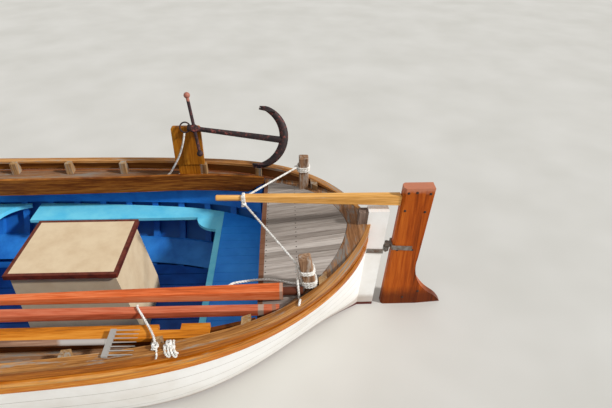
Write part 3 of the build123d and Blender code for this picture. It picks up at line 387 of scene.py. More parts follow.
# Varnished oak and ash, redder on the oars, and the bare ash of the spear's pole
rudder_oak = timber("varnished_rudder_oak", ("#5e2200", "#a84a08", "#c8681c"), "z", 0.35,
                    None, None, 0.014)
paint_nodes(["rudder"], rudder_oak)
paint_nodes(["tiller"],
            timber("varnished_tiller_ash", ("#c4883e", "#eeb262", "#ffd08e"), "x", 0.35,
                   ("#dcc09a", 0.15)))
red_oar = timber("red_varnished_oar", ("#96380e", "#de6a34", "#f09260"), "x", 0.4,
                 ("#eab89a", 0.03))
brown_oar = timber("dark_varnished_oar", ("#782e18", "#c05c3a", "#d8805e"), "x", 0.45,
                   ("#d8b8a4", 0.04))
spear_ash = timber("spear_pole_ash", ("#7a5844", "#a58068", "#ccae98"), "x", 0.6)
paint_nodes(["oar_inboard"], red_oar)
paint_nodes(["oar_outboard"], brown_oar)
paint_nodes(["fish_spear"], spear_ash)
print("timbers on", len([m for m in bpy.data.materials if m.users]), "materials")

# %% [markdown]
# ## Paint
# The cockpit is brushed in blues from sky to navy, the engine box in beige and the hull in white
# over a red underwater coat. Brushed paint is never quite even: it is thicker here and thinner
# there, dirt settles on it, and it chips. One function paints all of them, with the tones as its
# words.

# %% Brushed paint
def paint(name, tones, gloss, chip, patch_size, chip_share):
    """Oil paint on wood: tones are its dull and its fresh colour, chip is what shows where it is
    gone, and chip_share is how much of it is."""
    material, tree, shader, place = new_material(name)
    even = box(tree, "ShaderNodeTexNoise", [
        ("Vector", place), ("Scale", 1 / patch_size), ("Detail", 5), ("Roughness", 0.6),
    ]).outputs[0]
    coat = box(tree, "ShaderNodeValToRGB", [("Fac", even)],
               [(0.34, tones[0]), (0.62, tones[1])]).outputs[0]
    strokes = box(tree, "ShaderNodeMapping", [
        ("Vector", place), ("Scale", (0.06, 1, 1)),
    ]).outputs[0]
    strokes = box(tree, "ShaderNodeTexNoise", [
        ("Vector", strokes), ("Scale", 90.0), ("Detail", 2),
    ]).outputs[0]
    spots = box(tree, "ShaderNodeTexNoise", [
        ("Vector", place), ("Scale", 26.0), ("Detail", 8), ("Roughness", 0.75),
    ])
    spots = box(tree, "ShaderNodeMapRange", [
        (0, spots.outputs[0]), (1, 0.72 - chip_share * 0.4), (2, 0.75 - chip_share * 0.4),
    ]).outputs[0]
    coat = box(tree, "ShaderNodeMix", [(0, spots), (6, coat), (7, colour(chip))],
               data_type="RGBA").outputs[2]
    tree.links.new(coat, shader.inputs["Base Color"])
    rough = box(tree, "ShaderNodeMapRange", [
        (0, even), (1, 0.3), (2, 0.7), (3, gloss + 0.12), (4, gloss - 0.06),
    ])
    tree.links.new(rough.outputs[0], shader.inputs["Roughness"])
    shader.inputs["Specular IOR Level"].default_value = 0.3
    bump = box(tree, "ShaderNodeBump", [
        ("Strength", 0.15), ("Distance", 0.001), ("Height", strokes),
    ])
    tree.links.new(bump.outputs[0], shader.inputs["Normal"])
    return material


# Alkyd paint, brushed on: it dries half glossy and keeps the strokes of the brush
PAINTS = {
    "royal_blue_alkyd": (["stern_bench"], ("#2084ea", "#319cff"), 0.45, "#1b62b4", 0.25, 0.04),
    "sky_blue_alkyd": (["side_bench_port", "side_bench_starboard", "stern_bench_edge", "thwarts",
                        "thwart_knees"], ("#62d2f8", "#80e4ff"), 0.5, "#4fb4e0", 0.15, 0.05),
    "bright_blue_alkyd": (["side_lining"], ("#1060bc", "#2482dc"), 0.5, "#0c4c98", 0.3, 0.06),
    "blue_bilge_alkyd": (["bilge_lining"], ("#1c68bc", "#3088dc"), 0.5, "#124f94", 0.2, 0.08),
    "frame_blue_alkyd": (["frames", "bench_bearers", "engine_bearers"], ("#1158ac", "#2276ce"), 0.5,
                         "#0e4280", 0.2, 0.08),
    "navy_floor_alkyd": (["floorboards"], ("#043c8a", "#0a52aa"), 0.55, "#3c5c86", 0.2, 0.1),
    "beige_alkyd": (["engine_box", "engine_box_lid"], ("#d6bc98", "#e2cba8"), 0.5, "#c4a780", 0.12,
                    0.04),
    "red_brown_alkyd": (["lid_trim"], ("#4a1a0c", "#74301c"), 0.45, "#9a6a50", 0.05, 0.08),
}
for name, (painted, *words) in PAINTS.items():
    paint_nodes(painted, paint(name, *words))
print("painted", sum(1 for node in nodes.values() if node.data.materials), "nodes so far")

# %% [markdown]
# ## White hull, blue inside
# One plank of the hull has two finishes: white enamel outside, blue inside, with a dark red
# underwater coat below the waterline and fine dark seams between the planks. The plank could be
# cut in two to paint it, but a material can ask which way a face looks: inside faces look at the
# centreline. Each colour is laid over the last one, as on the real boat.

# %% Colours laid one over another
def lay_over(material, mask, code, strength=1.0):
    """Put one more colour over what a material shows, where its mask is 1."""
    tree = material.node_tree
    colour_in = tree.nodes["Principled BSDF"].inputs["Base Color"]
    under = colour_in.links[0].from_socket
    share = box(tree, "ShaderNodeMath", [(0, mask), (1, strength)], operation="MULTIPLY").outputs[0]
    over = box(tree, "ShaderNodeMix", [(0, share), (6, under), (7, colour(code))], data_type="RGBA")
    tree.links.new(over.outputs[2], colour_in)


def near(material, axis, middle, half, soft=0.01, ragged=0.0):
    """A mask that is 1 within half of a place along an axis, and ragged at its edge."""
    tree = material.node_tree
    place = box(tree, "ShaderNodeTexCoord").outputs["Object"]
    along = box(tree, "ShaderNodeSeparateXYZ", [(0, place)]).outputs["xyz".index(axis)]
    noise = box(tree, "ShaderNodeTexNoise", [
        ("Vector", place), ("Scale", 25.0), ("Detail", 5),
    ]).outputs[0]
    shift = box(tree, "ShaderNodeMath", [(0, noise), (1, ragged), (2, -middle - ragged / 2)],
                operation="MULTIPLY_ADD").outputs[0]
    moved = box(tree, "ShaderNodeMath", [(0, along), (1, shift)], operation="ADD").outputs[0]
    away = box(tree, "ShaderNodeMath", [(0, moved)], operation="ABSOLUTE").outputs[0]
    return box(tree, "ShaderNodeMapRange", [
        (0, away), (1, half), (2, half + soft), (3, 1.0), (4, 0.0),
    ]).outputs[0]


def inside(material):
    """A mask that is 1 on faces that look at the centreline."""
    tree = material.node_tree
    lookup = box(tree, "ShaderNodeTexCoord")
    place = box(tree, "ShaderNodeSeparateXYZ", [(0, lookup.outputs["Object"])]).outputs[1]
    facing = box(tree, "ShaderNodeSeparateXYZ", [(0, lookup.outputs["Normal"])]).outputs[1]
    inward = box(tree, "ShaderNodeMath", [(0, place), (1, facing)], operation="MULTIPLY").outputs[0]
    return box(tree, "ShaderNodeMath", [(0, inward), (1, -0.02)], operation="LESS_THAN").outputs[0]


print("overlays ready")

# %% Enamel, seams, underwater coat and the blue inside
# STRAKE is a plank's width, and SEAM the share of it that is the dark line
STRAKE = 0.095
SEAM = 0.05
FIRST_SEAM = 0.176
SHEER_AMIDSHIPS = 0.56
POST_HALF = 0.05

hull_white = paint("white_hull_enamel", ("#eeeae3", "#fcfbf8"), 0.4, "#cfc4b2", 0.3, 0.05)
tree = hull_white.node_tree
place = box(tree, "ShaderNodeTexCoord").outputs["Object"]
split = box(tree, "ShaderNodeSeparateXYZ", [(0, place)])
square = box(tree, "ShaderNodeMath", [
    (0, split.outputs[0]), (1, 2.0),
], operation="POWER").outputs[0]
sheer = box(tree, "ShaderNodeMath", [
    (0, square), (1, SHEER_RISE), (2, SHEER_AMIDSHIPS - FIRST_SEAM),
], operation="MULTIPLY_ADD").outputs[0]
drop = box(tree, "ShaderNodeMath", [
    (0, sheer), (1, split.outputs[2]),
], operation="SUBTRACT").outputs[0]
strakes = box(tree, "ShaderNodeMath", [(0, drop), (1, STRAKE)], operation="DIVIDE").outputs[0]
part = box(tree, "ShaderNodeMath", [(0, strakes)], operation="FRACT").outputs[0]
seam = box(tree, "ShaderNodeMath", [(0, part), (1, SEAM)], operation="LESS_THAN").outputs[0]
aside = box(tree, "ShaderNodeMath", [(0, split.outputs[1])], operation="ABSOLUTE").outputs[0]
plank = box(tree, "ShaderNodeMath", [
    (0, aside), (1, POST_HALF),
], operation="GREATER_THAN").outputs[0]
seam = box(tree, "ShaderNodeMath", [(0, seam), (1, plank)], operation="MULTIPLY").outputs[0]
lay_over(hull_white, seam, "#9d9588", 0.55)
lay_over(hull_white, near(hull_white, "z", 0.04, 0.022, 0.03, 0.02), "#8a6a4e", 0.5)
lay_over(hull_white, near(hull_white, "z", -0.98, 1.0, 0.003), "#5c2018")
lay_over(hull_white, inside(hull_white), "#1e66b4")
paint_nodes(["planking_port", "planking_starboard", "keel", "stern_post", "stem_post"], hull_white)

# The dark brown on all of the bulwark's inner faces is painted shade; the sheer strake's inner
# faces get the cockpit's blue paint.
for piece, code, strength in (("bulwark", "#4a2c14", 0.7), ("sheer_strake", "#1e66b4", 1.0)):
    lay_over(RAILS[piece], inside(RAILS[piece]), code, strength)
lay_over(deck_pine, near(deck_pine, "x", -1.95, 0.028, 0.003), "#7a4a2c", 0.9)
lay_over(rudder_oak, near(rudder_oak, "z", 1.87, 1.0, 0.02, 0.05), "#c98468", 0.8)
lay_over(rudder_oak, near(rudder_oak, "z", -0.93, 1.0, 0.08, 0.05), "#4a1a04", 0.75)
lay_over(red_oar, near(red_oar, "x", -3.086, 1.0, 0.004), "#4a2a20", 0.92)
lay_over(red_oar, near(red_oar, "x", -2.075, 0.006, 0.004), "#b8a08c", 0.8)
lay_over(brown_oar, near(brown_oar, "x", -1.976, 0.012, 0.004, 0.01), "#b0a090", 0.85)
lay_over(brown_oar, near(brown_oar, "x", -2.04, 0.008, 0.004, 0.01), "#8c7460", 0.7)
lay_over(spear_ash, near(spear_ash, "x", -1.19, 0.09, 0.03, 0.05), "#b9b3ae", 0.9)
lay_over(spear_ash, near(spear_ash, "x", -2.285, 1.0, 0.003), "#a9a49e")
print("hull, rudder, oars and spear finished")

# %% [markdown]
# ## Metals
# The anchor is wrought iron whose black paint is going to rust, the rudder's straps are dipped in
# zinc that has worn off, the propeller is bronze and its shaft steel. Metals differ in colour, in
# how rough they are and in how much of them is bare, so one function with three tones makes all.

# %% Iron, zinc, bronze and steel
def metal(name, tones, metallic, rough, size, pits=0.2):
    """A metal: tones run from sound to corroded, rough is the sound metal's, size is how large
    the patches are and pits how deep they show."""
    material, tree, shader, place = new_material(name)
    patch = box(tree, "ShaderNodeTexNoise", [
        ("Vector", place), ("Scale", 1 / size), ("Detail", 8), ("Roughness", 0.7),
    ]).outputs[0]
    tone = box(tree, "ShaderNodeValToRGB", [("Fac", patch)],
               [(0.4, tones[0]), (0.55, tones[1]), (0.68, tones[2])]).outputs[0]
    tree.links.new(tone, shader.inputs["Base Color"])
    shader.inputs["Metallic"].default_value = metallic
    shine = box(tree, "ShaderNodeMapRange", [
        (0, patch), (1, 0.35), (2, 0.65), (3, rough), (4, min(1, rough + 0.25)),
    ])
    tree.links.new(shine.outputs[0], shader.inputs["Roughness"])
    bump = box(tree, "ShaderNodeBump", [("Strength", pits), ("Distance", 0.002), ("Height", patch)])
    tree.links.new(bump.outputs[0], shader.inputs["Normal"])
    return material


anchor_iron = metal("rusty_wrought_iron", ("#1a1316", "#37201f", "#a4554c"), 0.15, 0.5, 0.03, 0.5)
paint_nodes(["anchor", "anchor_ring"], anchor_iron)
stock_iron = metal("rusty_stock_iron", ("#22181a", "#43282a", "#9a564a"), 0.15, 0.55, 0.025, 0.5)
lay_over(stock_iron, near(stock_iron, "z", 2.085, 1.0, 0.01, 0.02), "#c07a66", 0.8)
paint_nodes(["anchor_stock"], stock_iron)
zinc = metal("old_galvanised_iron", ("#8f8a84", "#7a6c60", "#6a4632"), 0.4, 0.55, 0.03, 0.3)
paint_nodes(["gudgeons", "pintles"], zinc)
paint_nodes(["propeller", "stern_tube"],
            metal("marine_bronze", ("#b08a4a", "#8a6a36", "#5c7a62"), 0.9, 0.3, 0.05))
paint_nodes(["propeller_shaft"],
            metal("stainless_steel", ("#c4c4c2", "#adadab", "#8f8d88"), 0.95, 0.22, 0.08, 0.05))
paint_nodes(["engine"],
            metal("cast_iron_enamel", ("#5f6b62", "#4c564f", "#2e2a25"), 0.2, 0.45, 0.06, 0.3))
print("still bare:", [name for name, node in nodes.items() if not node.data.materials])

# %% [markdown]
# ## The anchor's forging
# A smith draws the anchor out of thick bars: its arms are a crescent, fat at the crown and
# pointed at both ends, with a leaf-shaped palm near each, and its shank has a swelling where the
# stock goes through. The CAD anchor has the right places but even bars. Here each bar starts as
# one ring, which is pulled out station by station and made narrower on its way.

# %% Bars pulled out station by station
CROWN = Vector((-2.086, -0.750, 0.803))
SHANK_END = Vector((-1.461, -0.750, 0.902))
ARM_HINT = Vector((0.040, 0.090, -0.186))
ARC_MIDDLE, ARC_RADIUS, ARC_HALF_TURN = 0.200, 0.206, math.radians(86)
SHANK_LENGTH, STOCK_PLACE = 0.652, 0.604
PALM_START, PALM_LENGTH, PALM_WIDTH = 0.070, 0.118, 0.043
PALM_OUT, PALM_SPREAD = 0.181, 0.010

shank_way = (SHANK_END - CROWN).normalized()
arm_way = (ARM_HINT - shank_way * ARM_HINT.dot(shank_way)).normalized()
plate_way = shank_way.cross(arm_way)
anchor_axes = Matrix((shank_way, arm_way, plate_way)).transposed().to_4x4()
anchor_place = Matrix.Translation(CROWN) @ anchor_axes


def forged_bar(stations, sides):
    """A bar through stations: each is (x, y, direction's angle, half width, half thickness), in
    the anchor's own plane. Returns the object, still at the anchor's own origin."""
    bpy.ops.object.select_all(action="DESELECT")
    bpy.ops.mesh.primitive_circle_add(vertices=sides, radius=1, fill_type="NGON")
    made = bpy.context.active_object
    bpy.ops.object.mode_set(mode="EDIT")
    before = Matrix.Identity(4)
    for i, (x, y, angle, wide, thick) in enumerate(stations):
        if i:
            bpy.ops.mesh.extrude_region_move()
        ahead = Vector((math.cos(angle), math.sin(angle), 0))
        across = Vector((-ahead.y, ahead.x, 0))
        here = Matrix.Translation((x, y, 0)) @ Matrix((
            (across.x * wide, 0, ahead.x, 0), (across.y * wide, 0, ahead.y, 0),
            (0, thick, 0, 0), (0, 0, 0, 1),
        ))
        shape = bmesh.from_edit_mesh(made.data)
        ring = [vertex for vertex in shape.verts if vertex.select]
        bmesh.ops.transform(shape, matrix=here @ before.inverted(), verts=ring)
        bmesh.update_edit_mesh(made.data)
        before = here
    bpy.ops.mesh.select_all(action="SELECT")
    bpy.ops.mesh.normals_make_consistent(inside=False)
    bpy.ops.object.mode_set(mode="OBJECT")
    return made


arms = []
for i in range(33):
    share = (i - 16) / 16
    turn = ARC_HALF_TURN * share
    fade = 1 - abs(share) ** 2.2
    tip = min(1, 0.3 + 5 * (1 - abs(share)))
    arms.append((ARC_MIDDLE - ARC_RADIUS * math.cos(turn), ARC_RADIUS * math.sin(turn),
                 math.pi / 2 - turn, (0.012 + 0.018 * fade) * tip, 0.008 + 0.013 * fade))
bars = [forged_bar(arms, 12)]
for side in (1, -1):
    leaf = []
    for k in range(13):
        share = k / 12
        half_leaf = 0.003 + PALM_WIDTH * math.sin(math.pi * min(1, share ** 0.7)) ** 0.8
        leaf.append((PALM_START + PALM_LENGTH * share, side * (PALM_OUT + PALM_SPREAD * share),
                     0.0, 0.0075, half_leaf))
    bars.append(forged_bar(leaf, 10))
shank = []
for k in range(27):
    x = SHANK_LENGTH * k / 26
    swelling = math.exp(-((x - STOCK_PLACE) / 0.020) ** 2)
    wide = 0.023 - 0.007 * min(1, k / 22) + 0.010 * swelling + 0.004 * (x > 0.58)
    shank.append((x, 0.0, 0.0, wide, 0.0165 + 0.006 * swelling))
bars.append(forged_bar(shank, 8))

bpy.ops.object.select_all(action="DESELECT")
for bar in bars:
    bar.select_set(True)
bpy.context.view_layer.objects.active = bars[0]
bpy.ops.object.join()
forged_anchor = bpy.context.active_object
forged_anchor.name = "forged_anchor"
forged_anchor.data.transform(anchor_place)
forged_anchor.data.materials.clear()
forged_anchor.data.materials.append(anchor_iron)
bpy.ops.object.shade_smooth_by_angle(angle=math.radians(40))
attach(forged_anchor, "hull")
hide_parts("anchor")
print("anchor faces", len(forged_anchor.data.polygons))

# %% [markdown]
# ## Rope
# The white rope is laid: three strands twisted round each other, and each strand shows as a
# slanting bulge. A striped tube would only look like it from far away, so the three strands are
# modelled. Each rope starts as a smooth spline through the air, the strands wind along the points
# read from it, and where a rope lies on the boat its height comes from a ray sent down on it.

# %% A spline's points and a laid rope
ROPE_DIAMETER = 0.014
LINE_DIAMETER = 0.013
# LAY is the length of one full twist in diameters, STEPS the points that draw it, and ROUND the
# sides of a strand
LAY, STEPS, ROUND = 3.4, 9, 7

# Laid polyester: fuzzy, so it has no gloss and a faint sheen, and it holds dirt between its yarns
rope_white, tree, shader, place = new_material("white_polyester_rope")
fuzz = box(tree, "ShaderNodeTexNoise", [
    ("Vector", place), ("Scale", 60.0), ("Detail", 4),
]).outputs[0]
dirt = box(tree, "ShaderNodeValToRGB", [("Fac", fuzz)],
           [(0.35, "#c9c3b8"), (0.5, "#e9e5dd"), (0.65, "#f6f4f0")]).outputs[0]
tree.links.new(dirt, shader.inputs["Base Color"])
shader.inputs["Roughness"].default_value = 0.85
shader.inputs["Sheen Weight"].default_value = 0.2
yarns = box(tree, "ShaderNodeTexNoise", [
    ("Vector", place), ("Scale", 700.0), ("Detail", 1),
]).outputs[0]
bump = box(tree, "ShaderNodeBump", [("Strength", 0.4), ("Distance", 0.0006), ("Height", yarns)])
tree.links.new(bump.outputs[0], shader.inputs["Normal"])


def spline_points(points):
    """The points along the smooth line that a rope's route makes."""
    data = bpy.data.curves.new("route", "CURVE")
    data.dimensions = "3D"
    data.resolution_u = 16
    spline = data.splines.new("NURBS")
    spline.points.add(len(points) - 1)
    for knot, point in zip(spline.points, points):
        knot.co = (*point, 1)
    spline.order_u = 3
    spline.use_endpoint_u = True
    line = bpy.data.objects.new("route", data)
    drawn = bpy.data.meshes.new_from_object(line)
    path = [vertex.co.copy() for vertex in drawn.vertices]
    bpy.data.objects.remove(line)
    bpy.data.meshes.remove(drawn)
    return path


def even_points(path, step):
    """The same line with its points a step apart."""
    places = [0.0]
    for a, b in zip(path, path[1:]):
        places.append(places[-1] + (b - a).length)
    count = max(4, round(places[-1] / step))
    even, i = [], 0
    for k in range(count + 1):
        goal = places[-1] * k / count
        while i < len(path) - 2 and places[i + 1] < goal:
            i += 1
        share = (goal - places[i]) / max(places[i + 1] - places[i], 1e-9)
        even.append(path[i].lerp(path[i + 1], min(share, 1.0)))
    return even, places[-1]


def laid_rope(name, points, diameter, body="hull"):
    """Three strands along a route. Returns the piece, its path and its length."""
    path = spline_points(points)
    even, length = even_points(path, diameter * LAY / STEPS)
    middle, strand = diameter * 0.25, diameter * 0.25
    verts, faces = [], []
    side = Vector((0, 0, 1))
    rows = []
    for i, here in enumerate(even):
        ahead = (even[min(i + 1, len(even) - 1)] - even[max(i - 1, 0)]).normalized()
        side = side - ahead * side.dot(ahead)
        side = (side if side.length > 1e-4 else ahead.orthogonal()).normalized()
        rows.append((here, side.copy(), ahead.cross(side)))
    for k in range(3):
        first = len(verts)
        for i, (here, across, over) in enumerate(rows):
            turn = math.tau * (i / STEPS + k / 3)
            core = here + (across * math.cos(turn) + over * math.sin(turn)) * middle
            for j in range(ROUND):
                angle = math.tau * j / ROUND
                verts.append(core + (across * math.cos(angle) + over * math.sin(angle)) * strand)
        for i in range(len(rows) - 1):
            for j in range(ROUND):
                a, b = first + i * ROUND + j, first + i * ROUND + (j + 1) % ROUND
                faces.append((a, b, b + ROUND, a + ROUND))
        last = first + (len(rows) - 1) * ROUND
        faces.append(tuple(first + j for j in reversed(range(ROUND))))
        faces.append(tuple(last + j for j in range(ROUND)))
    mesh = bpy.data.meshes.new(name)
    mesh.from_pydata(verts, [], faces)
    mesh.materials.append(rope_white)
    mesh.shade_smooth()
    piece = bpy.data.objects.new(name, mesh)
    bpy.context.collection.objects.link(piece)
    if body:
        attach(piece, body)
    print(name, "is", round(length * 1000), "mm long")
    return piece, path, length


print("rope maker ready")

# %% [markdown]
# ## Two loose ropes
# One rope falls from the anchor's ring over the coaming and lies along its foot. The other leaves
# the near bitt, lies on the deck and goes on under the oar. Both are modelled in the CAD as plain
# tubes that hold their place, and the laid ropes take over there.

# %% Anchor rope and deck rope
ANCHOR_ROPE = [(-1.4223, -0.733, 0.872), (-1.417, -0.7195, 0.843), (-1.407, -0.716, 0.806),
               (-1.393, -0.722, 0.765), (-1.376, -0.732, 0.722), (-1.355, -0.743, 0.678),
               (-1.331, -0.753, 0.634), (-1.305, -0.765, 0.590), (-1.283, -0.783, 0.549),
               (-1.257, -0.788, 0.518), (-1.222, -0.786, 0.5015), (-1.175, -0.7875, 0.497),
               (-1.122, -0.7855, 0.4956), (-1.070, -0.7875, 0.4941), (-1.016, -0.786, 0.4926)]
DECK_ROPE = [(-2.1946, 0.466, 0.5831), (-2.150, 0.456, 0.5778), (-2.100, 0.436, 0.5724),
             (-2.050, 0.414, 0.5671), (-2.000, 0.399, 0.5613), (-1.952, 0.395, 0.5565),
             (-1.902, 0.405, 0.560), (-1.852, 0.424, 0.569), (-1.812, 0.444, 0.577),
             (-1.790, 0.4919, 0.587)]
for name, route, far_end in (("anchor_rope", ANCHOR_ROPE, "bare"),
                             ("deck_rope", DECK_ROPE, "object")):
    piece, path, length = laid_rope(f"laid_{name}", route, ROPE_DIAMETER)
    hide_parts(name)

# %% [markdown]
# ## Lashings
# Thinner lines hold the tiller between the two stern bitts, tie the oar and the board down at the
# rail, and are wound round the bitts. A line pulled tight is straight, one that is wound round a
# post is a spiral a rope's width outside it, and one that lies over things follows their tops.

# %% Where a line lies
LINE_HALF = LINE_DIAMETER / 2
BITT_TURN = 0.0385
ABOVE_GEAR, BESIDE_BOAT = 0.68, 1.5
THINGS = ["cap_rail_port", "bulwark_port", "rub_rail_port", "sheer_strake_port", "planking_port",
          "side_deck_port", "bulwark_stanchions_port", "oar_outboard", "oar_inboard",
          "notched_plank", "aft_deck", "aft_covering_board", "coaming_port"]


def on_top(x, y, lift=0.0):
    """A line's place on whatever is highest there."""
    start, down = Vector((x, y, ABOVE_GEAR)), Vector((0, 0, -1))
    tops = [nodes[name].ray_cast(start, down) for name in THINGS]
    return (x, y, max(spot.z for hit, spot, _, _ in tops if hit) + LINE_HALF + lift)


def outboard(x, z):
    """A line's place against the boat's port side."""
    start, inboard = Vector((x, BESIDE_BOAT, z)), Vector((0, -1, 0))
    sides = [nodes[name].ray_cast(start, inboard) for name in THINGS]
    return (x, max(spot.y for hit, spot, _, _ in sides if hit) + LINE_HALF, z)


def turns(middle, low, high, count, slope=0.0):
    """Points of a spiral round a squarish post, from low to high, which leans by slope."""
    points = []
    steps = round(count * 8)
    for i in range(steps + 1):
        angle = math.radians(45 * i)
        square = [round(math.cos(angle) * 1.4), round(math.sin(angle) * 1.4)]
        corner = abs(square[0]) and abs(square[1])
        x, y = math.cos(angle), math.sin(angle)
        if corner:
            x, y = square[0] * 0.86, square[1] * 0.86
        z = low + (high - low) * i / steps
        points.append((middle[0] + x * BITT_TURN + (z - low) * slope,
                       middle[1] + y * BITT_TURN, z))
    return points


print("on the cap at x -1.5:", [round(v, 3) for v in on_top(-1.5, 0.86)])

# %% Tiller lines, turns round the bitts, and the lashing at the rail
TILLER_TIE = (-1.857, 0.0, 0.8192)
LEAN = 0.176

tiller_loop = [(TILLER_TIE[0] - 0.013 * i / 16, 0.0245 * math.sin(math.tau * i / 8 + 0.5),
                TILLER_TIE[2] + 0.0262 * math.cos(math.tau * i / 8 + 0.5)) for i in range(19)]
laid_rope("tiller_loop", tiller_loop, LINE_DIAMETER, "steering")

far_line = [(-2.180, -0.486, 0.737), (-2.10, -0.366, 0.757), (-1.98, -0.187, 0.785),
            (-1.90, -0.068, 0.803), (-1.872, -0.028, 0.808)]
near_line = [(-1.866, 0.020, 0.797), (-1.89, 0.054, 0.789), (-1.96, 0.157, 0.767),
             (-2.08, 0.333, 0.729), (-2.15, 0.437, 0.706), (-2.168, 0.466, 0.699)]
for name, route, start, end in (("far_tiller_line", far_line, far_line[0], far_line[-1]),
                                ("near_tiller_line", near_line, near_line[-1], near_line[0])):
    piece, _, _ = laid_rope(name, route, LINE_DIAMETER, None)
    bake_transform(piece)

laid_rope("far_bitt_turns", turns((-2.222, -0.496), 0.712, 0.748, 3.0), LINE_DIAMETER)
laid_rope("near_bitt_turns", turns((-2.2225, 0.482), 0.606, 0.645, 3.0, LEAN), LINE_DIAMETER)
laid_rope("near_bitt_upper_turns", turns((-2.2085, 0.482), 0.688, 0.712, 2.0, LEAN),
          LINE_DIAMETER)
bitt_tail = [(-2.167, 0.470, 0.694), (-2.160, 0.490, 0.672), (-2.158, 0.508, 0.645),
             on_top(-2.162, 0.535, 0.002), on_top(-2.165, 0.56, 0.002), on_top(-2.168, 0.59),
             on_top(-2.170, 0.615), on_top(-2.166, 0.64), on_top(-2.162, 0.66)]
laid_rope("bitt_tail", bitt_tail, LINE_DIAMETER)

rail_lashing = [(-1.372, 0.597, 0.572), (-1.373, 0.598, 0.592), on_top(-1.378, 0.622, 0.003),
                on_top(-1.395, 0.648, 0.004), (-1.425, 0.690, 0.592), on_top(-1.45, 0.725, 0.010),
                on_top(-1.475, 0.765, 0.006), (-1.497, 0.81, 0.592), on_top(-1.510, 0.85, 0.002),
                on_top(-1.514, 0.868)]
laid_rope("rail_lashing", rail_lashing, LINE_DIAMETER)
for i, (x, low) in enumerate(((-1.556, 0.545), (-1.583, 0.535))):
    loop = [on_top(x + 0.004, 0.835, 0.003), on_top(x + 0.002, 0.855), on_top(x, 0.868, 0.003),
            outboard(x - 0.004, 0.585), outboard(x - 0.008, low + 0.01), outboard(x - 0.014, low),
            outboard(x - 0.020, low + 0.012), outboard(x - 0.018, 0.585),
            on_top(x - 0.014, 0.862, 0.003), on_top(x - 0.010, 0.85),
            on_top(x - 0.010, 0.835, 0.003)]
    laid_rope(f"rail_loop_{i + 1}", loop, LINE_DIAMETER)
bracket_lashing = [(-1.494, -0.815, 0.510), (-1.497, -0.785, 0.508), (-1.487, -0.768, 0.506),
                   (-1.45, -0.766, 0.504), (-1.41, -0.767, 0.503), (-1.37, -0.766, 0.503),
                   (-1.337, -0.768, 0.505), (-1.328, -0.785, 0.508), (-1.330, -0.815, 0.510)]
laid_rope("bracket_lashing", bracket_lashing, LINE_DIAMETER)

# %% [markdown]
# ## Knots
# Each lashing ends in a knot. A real one is a few turns of the same line, pulled into a ball, so
# a short route of crossing turns makes it, and the same knot is used wherever a line is tied.

# %% One knot, tied in several places
def knot(name, middle, size, body="hull"):
    """A tight ball of line round a point."""
    route = [(0.9, -1.2, -0.2), (0.9, 0.2, 0.5), (0.1, 1.0, 0.6), (-0.9, 0.4, 0.1),
             (-0.6, -0.8, -0.4), (0.5, -0.8, 0.3), (0.9, 0.5, -0.3), (0.0, 0.9, -0.7),
             (-0.8, 0.0, 0.5), (-0.3, -0.9, 0.7), (0.7, -0.3, -0.1), (1.0, 0.9, -0.9)]
    points = [tuple(m + size * r for m, r in zip(middle, row)) for row in route]
    laid_rope(name, points, LINE_DIAMETER, body)


knot("tiller_knot", (-1.869, 0.028, 0.794), 0.011, "steering")
knot("near_bitt_knot", (-2.165, 0.472, 0.694), 0.014)
knot("far_bitt_knot", (-2.177, -0.49, 0.735), 0.012)
knot("rail_knot", on_top(-1.516, 0.868, 0.008), 0.014)
knot("rail_loop_knot", on_top(-1.575, 0.858, 0.008), 0.012)
# The two free ends are a little thinner than the line
TAIL = 0.8 * LINE_DIAMETER
laid_rope("rail_tail", [on_top(-1.520, 0.872, 0.004), outboard(-1.524, 0.582),
                        outboard(-1.520, 0.565), outboard(-1.514, 0.548)], TAIL)
laid_rope("rail_loop_tail", [on_top(-1.588, 0.862, 0.006), outboard(-1.60, 0.585),
                             outboard(-1.604, 0.570), outboard(-1.612, 0.560)], TAIL)

# %% [markdown]
# ## Bolts and nails
# The rudder's planks are held by bolts with domed heads, and the deck's planks by nails. One head
# is turned from a short cylinder: its rim is inset and pulled up to a dome. Then it is copied to
# each place, every copy with its own mesh.

# %% One domed head, copied
BOLT_RADIUS, NAIL_RADIUS = 0.008, 0.0045
NAIL_SUNK = Vector((0, 0, 0.001))
HALF_RUDDER = 0.035


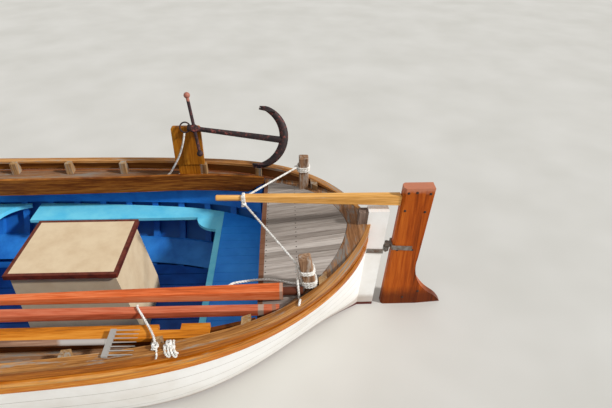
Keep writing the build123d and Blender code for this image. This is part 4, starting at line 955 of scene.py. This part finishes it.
def domed_head():
    """A head that stands on the XY plane at the origin, one radius wide."""
    bpy.ops.object.select_all(action="DESELECT")
    bpy.ops.mesh.primitive_cylinder_add(vertices=16, radius=1.0, depth=0.3, location=(0, 0, 0.15))
    made = bpy.context.active_object
    bpy.ops.object.mode_set(mode="EDIT")
    shape = bmesh.from_edit_mesh(made.data)
    for face in shape.faces:
        face.select_set(face.normal.z > 0.9)
    bmesh.update_edit_mesh(made.data)
    for thickness, lift in ((0.22, 0.14), (0.28, 0.07)):
        bpy.ops.mesh.inset(thickness=thickness)
        bpy.ops.transform.translate(value=(0, 0, lift))
    bpy.ops.object.mode_set(mode="OBJECT")
    made.data.shade_smooth()
    return made


pattern = domed_head()


def put_head(name, spot, facing, radius, body):
    """Copy the head to a spot, its top looking along facing."""
    copy = bpy.data.objects.new(name, pattern.data.copy())
    turned = Vector(facing).to_track_quat("Z", "Y").to_matrix().to_4x4()
    copy.data.transform(Matrix.Translation(spot) @ turned @ Matrix.Scale(radius, 4))
    copy.data.materials.clear()
    copy.data.materials.append(dark_iron)
    bpy.context.collection.objects.link(copy)
    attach(copy, body)


# Iron under black paint that the salt has got into
dark_iron = metal("painted_iron_bolts", ("#241a16", "#3a2a22", "#6a4030"), 0.2, 0.5, 0.01)
BOLTS = [(-2.797, 0.854), (-2.845, 0.857), (-2.923, 0.848), (-2.788, 0.735), (-2.905, 0.725),
         (-2.772, 0.448), (-2.864, 0.446), (-2.846, 0.055), (-2.941, 0.105)]
for side_name, side in (("port", 1), ("starboard", -1)):
    for i, (x, z) in enumerate(BOLTS):
        put_head(f"rudder_bolt_{side_name}_{i + 1}", (x, side * HALF_RUDDER, z), (0, side, 0),
                 BOLT_RADIUS, "steering")
deck_nails = [(x, DECK_PLANK * (k + 0.5)) for x in (-1.988, -2.16) for k in range(-12, 12)]
for i, (x, y) in enumerate(deck_nails):
    hit, spot, _, _ = nodes["aft_deck"].ray_cast(Vector((x, y, 1)), Vector((0, 0, -1)))
    if hit:
        put_head(f"deck_nail_{i + 1}", spot - NAIL_SUNK, (0, 0, 1), NAIL_RADIUS, "hull")
bpy.data.objects.remove(pattern)
